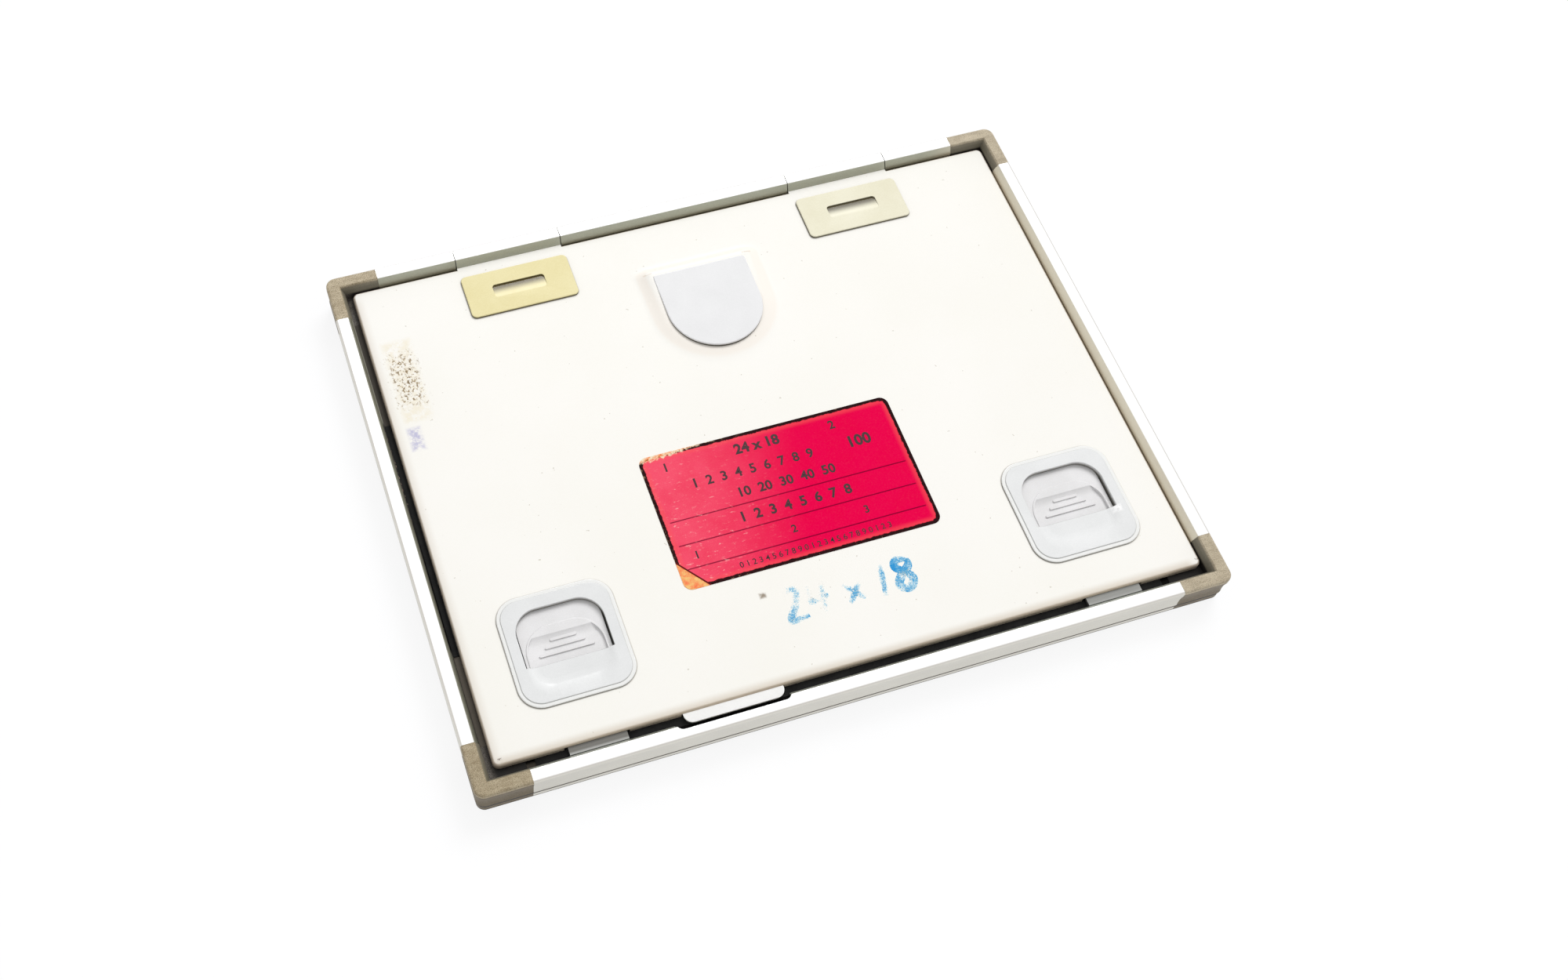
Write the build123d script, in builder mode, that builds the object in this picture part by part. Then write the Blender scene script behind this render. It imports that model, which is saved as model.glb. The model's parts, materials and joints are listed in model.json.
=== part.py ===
from build123d import *
from math import atan2, degrees
import os

os.makedirs("parts", exist_ok=True)

# X-ray film cassette for 180 x 240 mm film.
# The film lies between two intensifying screens. The tray (front panel, rails and plastic
# corners) carries the front screen; the hinged back lid presses the rear screen and its
# foam onto the film. Two spring-loaded thumb latches in the lid hold it shut.
#
# Frame: X along the long side, Y from the latch side (-Y) to the hinge side (+Y), Z up
# through the closed cassette from the front panel to the back lid. The origin is the
# middle of the underside. All sizes are millimetres.

# ------------------------------------------------------------------ driving dimensions
# Film and outer frame
film_length = 240.0
film_width = 180.0
frame_margin = 12.0             # outer frame beyond the film, every side
frame_height = 15.0
frame_corner_radius = 3.5

# Section of the upper rails, measured inwards from the outer side
split_height = 5.0              # parting line between front frame and upper rails
split_inset = 0.6               # chamfered foot of the upper rail at the parting line
split_chamfer = 0.3
waist_inset = 0.5               # shallow hollow along the outer side
waist_height = 8.6
bulge_drop = 2.4                # widest line of the outer side below the rim's top
crown_radius = 0.9              # outer top edge
rim_width = 4.5                 # flat top, outer side to inner edge
rim_edge = 0.2                  # broken inner top edge
bevel_run = 1.6                 # inner bevel, in plan
bevel_depth = 3.1
ledge_drop = 6.4                # inner ledge that carries the light seal, below the rim's top
ledge_width = 4.0
rail_wall = 1.4                 # outer wall of the hollow rail
socket_width = 3.0              # hollow inside the rail
socket_floor_wall = 1.2
socket_roof_wall = 1.4
tongue_length = 9.0             # corner tongue inside each rail end
tongue_clearance = 0.15

# Front frame (lower tier) and front panel
front_inset = 0.6
front_foot_radius = 1.6
front_lip_height = 0.8
front_lip_width = 8.7
panel_pocket_inset = 5.2
panel_thickness = 1.4
panel_clearance = 0.1
front_socket_wall = 1.8
front_socket_width = 2.4
front_socket_floor = 1.6
front_socket_cover = 1.0        # hollow to the parting line
front_tongue_length = 8.0

# Plastic corners: arm length along X and along Y
corner_arm = 18.7
corner_arm_y = 18.3
screw_inset = 3.4
screw_radius = 1.0
screw_head_radius = 1.7
screw_head_height = 0.9
screw_tip_height = 9.8
screw_recess = 0.3
screw_clearance = 0.1
thread_clearance = 0.02

# Film pack, from the front panel upwards
screen_thickness = 0.5
film_gap = 0.4
foam_overlap = 1.0              # foam and lead beyond the film, every side
lead_thickness = 0.2            # the foam fills the height left between screen and lead
plate_thickness = 1.0
standoff_length = 3.7           # pressure plate to lid sheet
plate_gap = 0.8                 # inner plate to the ledge, every side
liner_clearance = 0.1

# Light seal strips on the ledge
seal_thickness = 0.4
seal_margin = 0.3               # seal edge to ledge edges
seal_side_length = 91.0         # short strips on the left and right ledges
seal_side_centre = -6.0
seal_end_gap = 3.0              # long strips end short of the corners

# Lid
lid_drop = 3.2                  # top of the lid sheet below the rim's top
lid_sheet = 0.8
lid_skirt_depth = 2.5
lid_roll_radius = 1.1
lid_corner_radius = 2.2
lid_gap_left = 2.3
lid_gap_right = 0.3
lid_gap_near = 3.4
lid_gap_far = 0.4
lid_fitting_shift = 1.2         # lid fittings sit this far right of the frame's centre

# Hinge
hinge_inset = 66.95             # knuckle centre from the frame's end
hinge_centre_shift = 0.8
knuckle_width = 39.7
knuckle_gap = 0.3               # seam each side of a knuckle
pivot_inset = 2.5               # pin axis from the outer side
pivot_drop = 2.4                # pin axis below the rim's top
knuckle_radius = 2.9
trough_clearance = 0.35
pin_radius = 1.0
pin_running_clearance = 0.05
pin_seat_clearance = 0.02
pin_seat_length = 6.0           # pin held in the far rail, each end
leaf_thickness = 1.2
leaf_clearance = 0.05           # leaf to lid sheet
leaf_reach = 28.0               # leaf end from the outer side
leaf_slot_clearance = 0.3

# Hinge covers and rivets
cover_overhang = 0.25           # cover beyond the knuckle, each end
cover_width = 18.4
cover_thickness = 0.9
cover_spread = 0.45             # covers stand this much further apart than the knuckles
cover_edge_gap = 4.6            # cover to the lid's far edge
cover_corner_radius = 2.0
cover_edge_radius = 0.3
cover_dip_length = 19.6
cover_dip_width = 5.6
cover_dip_depth = 0.6
cover_dip_offset = 0.1
cover_dip_corner_radius = 1.2
rivet_inset = 5.85              # rivet to the knuckle's end
rivet_radius = 1.25
rivet_head_radius = 2.3
rivet_head_height = 0.4
rivet_clearance = 0.05

# Centre boss and cap
boss_margin = 7.0               # foot of the boss beyond the cap, at the sides and round end
boss_height = 1.7               # at the far edge of its sloping top
boss_near_height = 0.2          # at its round end
boss_edge_gap = 22.2            # far edge of the sloping top to the lid's far edge
boss_flank = 3.6                # flank in plan, at full height
boss_corner_radius = 5.0
cap_radius = 17.8
cap_straight = 17.8             # straight sides of the D
cap_edge_gap = 1.6              # flat side of the cap to the boss's far edge
cap_thickness = 1.85
cap_corner_radius = 1.0
cap_edge_radius = 0.35
cap_clearance = 0.15
stud_radius = 2.0
stud_head_radius = 4.5
stud_head_height = 0.6
spacer_radius = 4.0
standoff_radius = 3.0
standoff_inset_x = 12.0
standoff_inset_y = 12.0
standoff_latch_gap = 10.5
plate_screw_radius = 1.0
plate_screw_head_radius = 1.9
plate_screw_head_height = 0.4
plate_screw_grip = 2.6

# Latches
latch_inset = 41.25             # bezel centre from the frame's end, without the shift
latch_edge_gap = 34.2           # bezel centre to the lid's near edge
bezel_size = 39.8
bezel_corner_radius = 8.0
bezel_flange = 0.7
bezel_rim = 1.3
bezel_plateau = 0.3
bezel_edge_radius = 0.25
skirt_size = 33.6
skirt_clearance = 0.2
skirt_corner_radius = 6.0
well_width = 30.0
well_far_gap = 2.4              # well's far wall to the slide drawn back
well_near_reach = 17.4          # bezel centre to the dish's near rim
well_corner_radius = 8.5
bridge_reach = 5.5              # bezel centre to the bridge's far edge
bridge_thickness = 0.4
bridge_clearance = 0.2
dish_slope_x = 3.0
dish_slope_y = 5.7
dish_corner_radius = 5.0
housing_wall = 1.2
housing_floor = 0.9
spring_room = 3.8               # housing's near wall to the slide thrown
slide_lift = 0.1                # slide's underside above the lid's foot
slide_gap = 0.2                 # slide to housing floor
slide_height = 1.6
slide_half_width = 13.6
slide_far_reach = 8.4
slide_corner_radius = 10.0
slide_shoulder_reach = 9.7
slide_shoulder_half_width = 14.6
slide_near_reach = 15.7
slide_edge_radius = 0.3
tray_half_width = 14.5          # thin tray that fills the well around the thumb piece
tray_far_reach = 15.3           # runs on under the bezel's far side
tray_corner_radius = 8.0
tray_drop = 0.25                # below the thumb piece's top
tray_clearance = 0.2
shoulder_drop = 0.2
scoop_rim = 0.7
scoop_wall_reach = 5.0
scoop_wall_run = 3.0
scoop_depth = 1.1
scoop_near_reach = 8.0
rib_lengths = (9.1, 13.8, 18.9)
rib_first_reach = 3.1
rib_pitch = 2.4
rib_width = 0.95
rib_height = 0.5
bolt_width = 19.7
bolt_height = 1.4
bolt_nose_gap = 0.4             # nose to the near rail's inner wall at rest
bolt_nose_chamfer = 0.3
bolt_neck_width = 8.0
bolt_head_width = 12.0
bolt_joint_clearance = 0.1
bolt_side_clearance = 0.25
bolt_slot_clearance = 0.4
bolt_slot_end_gap = 1.2         # slot's end to the nose of the thrown bolt
latch_throw = 2.2               # from rest towards the rail
latch_retract = 3.5             # from rest towards the hinge
spring_radius = 0.75
spring_wire = 0.15
spring_pitch = 0.8
spring_offset = 12.4

# Lifting tab and its notch in the near rail
tab_width = 34.4
tab_from_latch = 45.85          # tab's middle from the left latch's
tab_thickness = 1.0
tab_reach = 3.5                 # beyond the lid's near edge
tab_root = 13.0                 # under the lid sheet
tab_corner_radius = 3.0
tab_cut_clearance = 0.4
edge_cut_clearance = 1.1        # lid edge beside each bolt
notch_gap_left = 4.1
notch_gap_right = 0.8
notch_depth = 2.9
notch_corner_radius = 2.6

# Label
label_length = 92.8
label_width = 52.4
label_thickness = 0.15
label_corner_radius = 3.0
label_shift = (-0.6, -27.4)    # from the lid's centre

# --------------------------------------------------------------------- derived values
frame_length = film_length + 2 * frame_margin
frame_width = film_width + 2 * frame_margin
half_length = frame_length / 2
half_width = frame_width / 2

wall_inset = rim_width + bevel_run
ledge_inset = wall_inset + ledge_width

bulge_height = frame_height - bulge_drop
bevel_foot_height = frame_height - bevel_depth
ledge_height = frame_height - ledge_drop
socket_floor = split_height + socket_floor_wall
socket_roof = frame_height - socket_roof_wall
front_socket_roof = split_height - front_socket_cover
lid_height = frame_height - lid_drop
lid_skirt_foot = lid_height - lid_skirt_depth
sheet_foot = lid_height - lid_sheet
pivot_height = frame_height - pivot_drop

panel_foot = front_lip_height
panel_top = panel_foot + panel_thickness
front_screen_top = panel_top + screen_thickness
rear_screen_foot = front_screen_top + film_gap
foam_foot = rear_screen_foot + screen_thickness
plate_top = sheet_foot - standoff_length
plate_foot = plate_top - plate_thickness
lead_foot = plate_foot - lead_thickness
foam_thickness = lead_foot - foam_foot

lid_left = -half_length + wall_inset + lid_gap_left
lid_right = half_length - wall_inset - lid_gap_right
lid_near = -half_width + wall_inset + lid_gap_near
lid_far = half_width - wall_inset - lid_gap_far
lid_length = lid_right - lid_left
lid_width = lid_far - lid_near
lid_centre_x = (lid_left + lid_right) / 2
lid_centre_y = (lid_near + lid_far) / 2

trough_radius = knuckle_radius + trough_clearance
leaf_top = sheet_foot - leaf_clearance
leaf_foot = leaf_top - leaf_thickness
hinge_centres = {
    "left": hinge_centre_shift + hinge_inset - half_length,
    "right": hinge_centre_shift + half_length - hinge_inset,
}
cover_length = knuckle_width + 2 * cover_overhang
rivet_spacing = knuckle_width - 2 * rivet_inset
cover_shift = lid_fitting_shift - hinge_centre_shift
cover_centres = {
    "left": hinge_centres["left"] + cover_shift - cover_spread,
    "right": hinge_centres["right"] + cover_shift + cover_spread,
}
cover_y = lid_far - cover_edge_gap - cover_width / 2

latch_y = lid_near + latch_edge_gap
latch_centres = {
    "left": lid_fitting_shift + latch_inset - half_length,
    "right": lid_fitting_shift + half_length - latch_inset,
}
bezel_top = lid_height + bezel_flange + bezel_plateau
well_far_reach = slide_far_reach + latch_retract + well_far_gap
housing_near_reach = slide_near_reach + latch_throw + spring_room
slide_foot = lid_skirt_foot + slide_lift
slide_top = slide_foot + slide_height
tray_top = slide_top - tray_drop
housing_floor_top = slide_foot - slide_gap
bridge_foot = slide_top + bridge_clearance
dish_floor = bridge_foot + bridge_thickness
bolt_nose_y = -half_width + wall_inset + bolt_nose_gap
tab_centre = latch_centres["left"] + tab_from_latch
notch_left = tab_centre - tab_width / 2 - notch_gap_left
notch_right = tab_centre + tab_width / 2 + notch_gap_right

# ----------------------------------------------------------------------------- helpers
SIDES = {
    "near": ((0, -1, 0), half_width),
    "far": ((0, 1, 0), half_width),
    "left": ((-1, 0, 0), half_length),
    "right": ((1, 0, 0), half_length),
}


def side_plane(side, start):
    """Section plane of one frame side: local x points outwards from the outer face,
    local y is height, and an extrusion runs along the side from the coordinate start."""
    outward, reach = SIDES[side]
    along = Vector(*outward).cross(Vector(0, 0, 1))
    origin = Vector(*outward) * reach + along * start
    return Plane(origin=origin, x_dir=outward, z_dir=along)


def at(x, y, height=0.0):
    """Horizontal plane with its origin at a place on the cassette."""
    return Plane(origin=(x, y, height))


def lengthwise(x, y):
    """Upright plane at x, looking along +X: local x is Y from the given y."""
    return Plane(origin=(x, y, 0), x_dir=(0, 1, 0), z_dir=(1, 0, 0))


def save(part, name):
    part.label = name
    export_step(part, f"parts/{name}.step")


# ----------------------------------------------------------- rail and corner sections
# Drawn once with x = minus the inset from the outer face and y = height.
with BuildSketch() as rail_outline:
    with BuildLine():
        Line((-split_inset, split_height), (-split_inset + split_chamfer, split_height + split_chamfer))
        ThreePointArc(
            (-split_inset + split_chamfer, split_height + split_chamfer),
            (-waist_inset, waist_height),
            (0, bulge_height),
        )
        Line((0, bulge_height), (0, frame_height - crown_radius))
        RadiusArc((0, frame_height - crown_radius), (-crown_radius, frame_height), -crown_radius)
        Polyline(
            (-crown_radius, frame_height),
            (-rim_width + rim_edge, frame_height),
            (-rim_width - rim_edge * bevel_run / (frame_height - bevel_foot_height),
             frame_height - rim_edge),
            (-wall_inset, bevel_foot_height),
            (-wall_inset, ledge_height),
            (-ledge_inset, ledge_height),
            (-ledge_inset, split_height),
            (-split_inset, split_height),
        )
    make_face()

with BuildSketch() as rail_socket:
    with Locations((-rail_wall - socket_width / 2, (socket_floor + socket_roof) / 2)):
        Rectangle(socket_width, socket_roof - socket_floor)

with BuildSketch() as rail_hollow:
    add(rail_outline.sketch)
    add(rail_socket.sketch, mode=Mode.SUBTRACT)

with BuildSketch() as front_outline:
    with BuildLine():
        Line((-front_inset - split_chamfer, split_height), (-front_inset, split_height - split_chamfer))
        Line((-front_inset, split_height - split_chamfer), (-front_inset, front_foot_radius))
        RadiusArc((-front_inset, front_foot_radius), (-front_inset - front_foot_radius, 0), front_foot_radius)
        Polyline(
            (-front_inset - front_foot_radius, 0),
            (-front_lip_width, 0),
            (-front_lip_width, front_lip_height),
            (-panel_pocket_inset, front_lip_height),
            (-panel_pocket_inset, split_height),
            (-front_inset - split_chamfer, split_height),
        )
    make_face()

with BuildSketch() as front_socket:
    with Locations((
        -front_socket_wall - front_socket_width / 2,
        (front_socket_floor + front_socket_roof) / 2,
    )):
        Rectangle(front_socket_width, front_socket_roof - front_socket_floor)

with BuildSketch() as front_hollow:
    add(front_outline.sketch)
    add(front_socket.sketch, mode=Mode.SUBTRACT)


# -------------------------------------------------------------------------- tray: rails
rail_half_x = half_length - corner_arm
rail_half_y = half_width - corner_arm_y

for side in ("left", "right"):
    with BuildPart() as rail:
        with BuildSketch(side_plane(side, -rail_half_y)):
            add(rail_hollow.sketch)
        extrude(amount=2 * rail_half_y)
    save(rail.part, f"rail_{side}")

FRONT_RAILS = {"near": rail_half_x, "far": rail_half_x, "left": rail_half_y, "right": rail_half_y}
for side, reach in FRONT_RAILS.items():
    with BuildPart() as front_rail:
        with BuildSketch(side_plane(side, -reach)):
            add(front_hollow.sketch)
        extrude(amount=2 * reach)
    save(front_rail.part, f"front_rail_{side}")

# The near rail has a slot for each latch bolt and a notch for the lifting tab.
wall_y = -half_width + wall_inset
bolt_slot_foot = slide_foot - bolt_slot_clearance
bolt_slot_roof = slide_foot + bolt_height + bolt_slot_clearance
bolt_slot_depth = latch_throw - bolt_nose_gap + bolt_slot_end_gap
with BuildPart() as rail_near:
    with BuildSketch(side_plane("near", -rail_half_x)):
        add(rail_hollow.sketch)
    extrude(amount=2 * rail_half_x)
    with BuildSketch(Plane.XY.offset(bolt_slot_foot)):
        for latch_x in latch_centres.values():
            with Locations((latch_x, wall_y)):
                Rectangle(bolt_width + 2 * bolt_slot_clearance, 2 * bolt_slot_depth)
    extrude(amount=bolt_slot_roof - bolt_slot_foot, mode=Mode.SUBTRACT)
    with BuildSketch(Plane.XY.offset(ledge_height)) as notch:
        with Locations(((notch_left + notch_right) / 2, wall_y)):
            Rectangle(notch_right - notch_left, 2 * notch_depth)
        fillet(notch.vertices().group_by(Axis.Y)[0], notch_corner_radius)
    extrude(amount=frame_height - ledge_height, mode=Mode.SUBTRACT)
save(rail_near.part, "rail_near")

# The far rail carries the hinge pins. It is solid between its end sockets and has a
# trough under each knuckle.
with BuildPart() as rail_far:
    with BuildSketch(side_plane("far", -rail_half_x)):
        add(rail_outline.sketch)
    extrude(amount=2 * rail_half_x)
    for start in (-rail_half_x, rail_half_x - tongue_length):
        with BuildSketch(side_plane("far", start)):
            add(rail_socket.sketch)
        extrude(amount=tongue_length, mode=Mode.SUBTRACT)
    for knuckle_x in hinge_centres.values():
        trough_start = knuckle_x - knuckle_width / 2 - knuckle_gap
        with BuildSketch(side_plane("far", trough_start)):
            with Locations((-pivot_inset, pivot_height)):
                Circle(trough_radius)
                Rectangle(wall_inset, frame_height, align=(Align.MIN, Align.MIN))
            with Locations((-pivot_inset, leaf_foot - leaf_slot_clearance)):
                Rectangle(ledge_inset, frame_height, align=(Align.MAX, Align.MIN))
        extrude(amount=knuckle_width + 2 * knuckle_gap, mode=Mode.SUBTRACT)
        with BuildSketch(side_plane("far", trough_start - pin_seat_length)):
            with Locations((-pivot_inset, pivot_height)):
                Circle(pin_radius + pin_seat_clearance)
        extrude(amount=knuckle_width + 2 * (knuckle_gap + pin_seat_length), mode=Mode.SUBTRACT)
save(rail_far.part, "rail_far")


# ------------------------------------------------------------------------ tray: corners
def corner_shape(outline, socket, tongue):
    """One corner of the frame at +X +Y: two arms, a rounded outside and two tongues."""
    axis_x = half_length - frame_corner_radius
    axis_y = half_width - frame_corner_radius
    with BuildSketch() as outer_band:
        add(outline)
        with Locations((-frame_corner_radius, 0)):
            Rectangle(frame_corner_radius, frame_height, align=(Align.MIN, Align.MIN), mode=Mode.INTERSECT)
    with BuildSketch() as tongue_section:
        add(socket)
        offset(amount=-tongue_clearance, kind=Kind.INTERSECTION, mode=Mode.REPLACE)
    with BuildPart() as corner:
        with BuildSketch(side_plane("far", rail_half_x)):
            add(outline)
        extrude(amount=axis_x - rail_half_x)
        with BuildSketch(side_plane("right", -axis_y)):
            add(outline)
        extrude(amount=axis_y - rail_half_y)
        with BuildSketch(side_plane("far", axis_x)):
            add(outer_band.sketch)
        revolve(axis=Axis((axis_x, axis_y, 0), (0, 0, -1)), revolution_arc=90)
        with BuildSketch(side_plane("far", rail_half_x - tongue)):
            add(tongue_section.sketch)
        extrude(amount=tongue)
        with BuildSketch(side_plane("right", -rail_half_y)):
            add(tongue_section.sketch)
        extrude(amount=tongue)
    return corner.part


upper_corner = corner_shape(rail_outline.sketch, rail_socket.sketch, tongue_length - tongue_clearance)
lower_corner = corner_shape(front_outline.sketch, front_socket.sketch, front_tongue_length)
screw_x = half_length - screw_inset
screw_y = half_width - screw_inset

with BuildPart() as drilled_upper_corner:
    add(upper_corner)
    with BuildSketch(at(screw_x, screw_y, split_height)):
        Circle(screw_radius + thread_clearance)
    extrude(amount=screw_tip_height - split_height + thread_clearance, mode=Mode.SUBTRACT)

with BuildPart() as drilled_lower_corner:
    add(lower_corner)
    with BuildSketch(at(screw_x, screw_y)):
        Circle(screw_radius + screw_clearance)
    extrude(amount=split_height, mode=Mode.SUBTRACT)
    with BuildSketch(at(screw_x, screw_y)):
        Circle(screw_head_radius + screw_clearance)
    extrude(amount=screw_recess, mode=Mode.SUBTRACT)
    with BuildSketch(at(screw_x, screw_y, screw_recess)):
        Circle(screw_head_radius + screw_clearance)
    with BuildSketch(at(screw_x, screw_y, screw_recess + screw_head_height)):
        Circle(screw_radius + screw_clearance)
    loft(mode=Mode.SUBTRACT)

with BuildPart() as corner_screw:
    with BuildSketch(at(screw_x, screw_y, screw_recess)):
        Circle(screw_head_radius)
    with BuildSketch(at(screw_x, screw_y, screw_recess + screw_head_height)):
        Circle(screw_radius)
    loft()
    with BuildSketch(at(screw_x, screw_y, screw_recess + screw_head_height)):
        Circle(screw_radius)
    extrude(amount=screw_tip_height - screw_recess - screw_head_height)

CORNERS = {
    "far_right": (),
    "far_left": (Plane.YZ,),
    "near_right": (Plane.XZ,),
    "near_left": (Plane.YZ, Plane.XZ),
}


def mirrored(part, planes):
    for plane in planes:
        part = part.mirror(plane)
    return part


for place, planes in CORNERS.items():
    with BuildPart() as corner:
        add(mirrored(drilled_upper_corner.part, planes))
    save(corner.part, f"corner_{place}")
    with BuildPart() as front_corner:
        add(mirrored(drilled_lower_corner.part, planes))
    save(front_corner.part, f"front_corner_{place}")

with BuildPart() as corner_screws:
    for planes in CORNERS.values():
        add(mirrored(corner_screw.part, planes))
save(corner_screws.part, "corner_screws")


# ------------------------------------------------------- tray: panel, liner and screen
pocket_length = frame_length - 2 * panel_pocket_inset
pocket_width = frame_width - 2 * panel_pocket_inset
well_length = frame_length - 2 * ledge_inset
well_width_y = frame_width - 2 * ledge_inset

with BuildPart() as front_panel:
    with BuildSketch(Plane.XY.offset(panel_foot)):
        Rectangle(pocket_length - 2 * panel_clearance, pocket_width - 2 * panel_clearance)
    extrude(amount=panel_thickness)
save(front_panel.part, "front_panel")

with BuildPart() as well_liner:
    with BuildSketch(Plane.XY.offset(panel_top)):
        Rectangle(pocket_length - 2 * liner_clearance, pocket_width - 2 * liner_clearance)
        Rectangle(well_length, well_width_y, mode=Mode.SUBTRACT)
    extrude(amount=split_height - panel_top)
save(well_liner.part, "well_liner")

with BuildPart() as front_screen:
    with BuildSketch(Plane.XY.offset(panel_top)):
        RectangleRounded(film_length, film_width, frame_corner_radius)
    extrude(amount=screen_thickness)
save(front_screen.part, "front_screen")

seal_width = ledge_width - 2 * seal_margin
seal_x = half_length - wall_inset - ledge_width / 2
seal_y = half_width - wall_inset - ledge_width / 2
seal_long = 2 * (rail_half_x - seal_end_gap)
SEALS = {
    "near": (0, -seal_y, seal_long, seal_width),
    "far": (0, seal_y, seal_long, seal_width),
    "left": (-seal_x, seal_side_centre, seal_width, seal_side_length),
    "right": (seal_x, seal_side_centre, seal_width, seal_side_length),
}
for side, (x, y, length, width) in SEALS.items():
    with BuildPart() as light_seal:
        with BuildSketch(at(x, y, ledge_height)):
            Rectangle(length, width)
        extrude(amount=seal_thickness)
    save(light_seal.part, f"light_seal_{side}")


# ---------------------------------------------------------------------------- lid shell
boss_far = lid_far - boss_edge_gap
cap_y = boss_far - cap_edge_gap - cap_straight

boss_radius = cap_radius + boss_margin
boss_foot = boss_far + boss_flank
with BuildSketch() as boss_outline:
    Circle(boss_radius)
    Rectangle(2 * boss_radius, boss_foot - cap_y, align=(Align.CENTER, Align.MIN))
    fillet(boss_outline.vertices().group_by(Axis.Y)[-1], boss_corner_radius)

# D-shaped boss with sloping flanks, under a top that falls towards its round end.
with BuildPart() as boss:
    with BuildSketch(at(lid_fitting_shift, cap_y, lid_height)):
        add(boss_outline.sketch)
    extrude(amount=boss_height, taper=degrees(atan2(boss_flank, boss_height)))
    with BuildSketch(at(lid_fitting_shift, cap_y, sheet_foot)):
        add(boss_outline.sketch)
    extrude(amount=lid_sheet)
    with BuildSketch(lengthwise(lid_fitting_shift, 0)):
        with BuildLine():
            Polyline(
                (cap_y - boss_radius, sheet_foot),
                (cap_y - boss_radius, lid_height + boss_near_height),
                (boss_far, lid_height + boss_height),
                (boss_foot, lid_height + boss_height),
                (boss_foot, sheet_foot),
                close=True,
            )
        make_face()
    extrude(amount=boss_radius, both=True, mode=Mode.INTERSECT)

with BuildPart() as lid_hollow:
    with BuildSketch(at(lid_centre_x, lid_centre_y, lid_skirt_foot)):
        RectangleRounded(lid_length - 2 * lid_sheet, lid_width - 2 * lid_sheet, lid_corner_radius - lid_sheet)
    extrude(amount=sheet_foot - lid_skirt_foot)
    fillet(lid_hollow.faces().sort_by(Axis.Z)[-1].edges(), lid_roll_radius - lid_sheet)

# D-shaped outline of the centre cap, round towards the latches.
with BuildSketch() as cap_outline:
    Circle(cap_radius)
    Rectangle(2 * cap_radius, cap_straight, align=(Align.CENTER, Align.MIN))
    fillet(cap_outline.vertices().group_by(Axis.Y)[-1], cap_corner_radius)

with BuildPart() as lid_shell:
    with BuildSketch(at(lid_centre_x, lid_centre_y, lid_skirt_foot)):
        RectangleRounded(lid_length, lid_width, lid_corner_radius)
    extrude(amount=lid_height - lid_skirt_foot)
    fillet(lid_shell.faces().sort_by(Axis.Z)[-1].edges(), lid_roll_radius)
    add(boss.part)
    add(lid_hollow.part, mode=Mode.SUBTRACT)
    # pocket for the cap and hole for the stud below it
    with BuildSketch(at(lid_fitting_shift, cap_y, lid_height)):
        add(cap_outline.sketch)
        offset(amount=cap_clearance, mode=Mode.REPLACE)
    extrude(amount=boss_height, mode=Mode.SUBTRACT)
    with BuildSketch(at(lid_fitting_shift, cap_y, sheet_foot)):
        Circle(stud_radius + rivet_clearance)
    extrude(amount=lid_sheet, mode=Mode.SUBTRACT)
    # windows for the latch bezels
    for latch_x in latch_centres.values():
        with BuildSketch(at(latch_x, latch_y, sheet_foot)):
            RectangleRounded(
                skirt_size + 2 * skirt_clearance,
                skirt_size + 2 * skirt_clearance,
                skirt_corner_radius + skirt_clearance,
            )
        extrude(amount=lid_sheet, mode=Mode.SUBTRACT)
    # cut-outs in the near edge for the bolts and the lifting tab
    with BuildSketch(Plane.XY.offset(lid_skirt_foot)):
        for latch_x in latch_centres.values():
            with Locations((latch_x, lid_near)):
                Rectangle(bolt_width + 2 * edge_cut_clearance, 2 * lid_roll_radius)
        with Locations((tab_centre, lid_near)):
            Rectangle(tab_width + 2 * tab_cut_clearance, 2 * lid_roll_radius)
    extrude(amount=sheet_foot - lid_skirt_foot, mode=Mode.SUBTRACT)
    # the far edge is open over each hinge leaf, and the sheet runs on to the knuckle
    for knuckle_x in hinge_centres.values():
        with BuildSketch(at(knuckle_x, lid_far, lid_skirt_foot)):
            Rectangle(knuckle_width + 2 * knuckle_gap, 2 * lid_roll_radius)
        extrude(amount=sheet_foot - lid_skirt_foot, mode=Mode.SUBTRACT)
        with BuildSketch(at(knuckle_x, half_width - wall_inset - leaf_clearance, sheet_foot)):
            Rectangle(
                knuckle_width,
                lid_gap_far + lid_roll_radius,
                align=(Align.CENTER, Align.MAX),
            )
        extrude(amount=lid_sheet)
    # rivet holes under the hinge covers
    with BuildSketch(Plane.XY.offset(sheet_foot)):
        for cover_x in cover_centres.values():
            with Locations((cover_x, cover_y)):
                with GridLocations(rivet_spacing, 0, 2, 1):
                    Circle(rivet_radius + rivet_clearance)
    extrude(amount=lid_sheet, mode=Mode.SUBTRACT)
save(lid_shell.part, "lid_shell")


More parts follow.
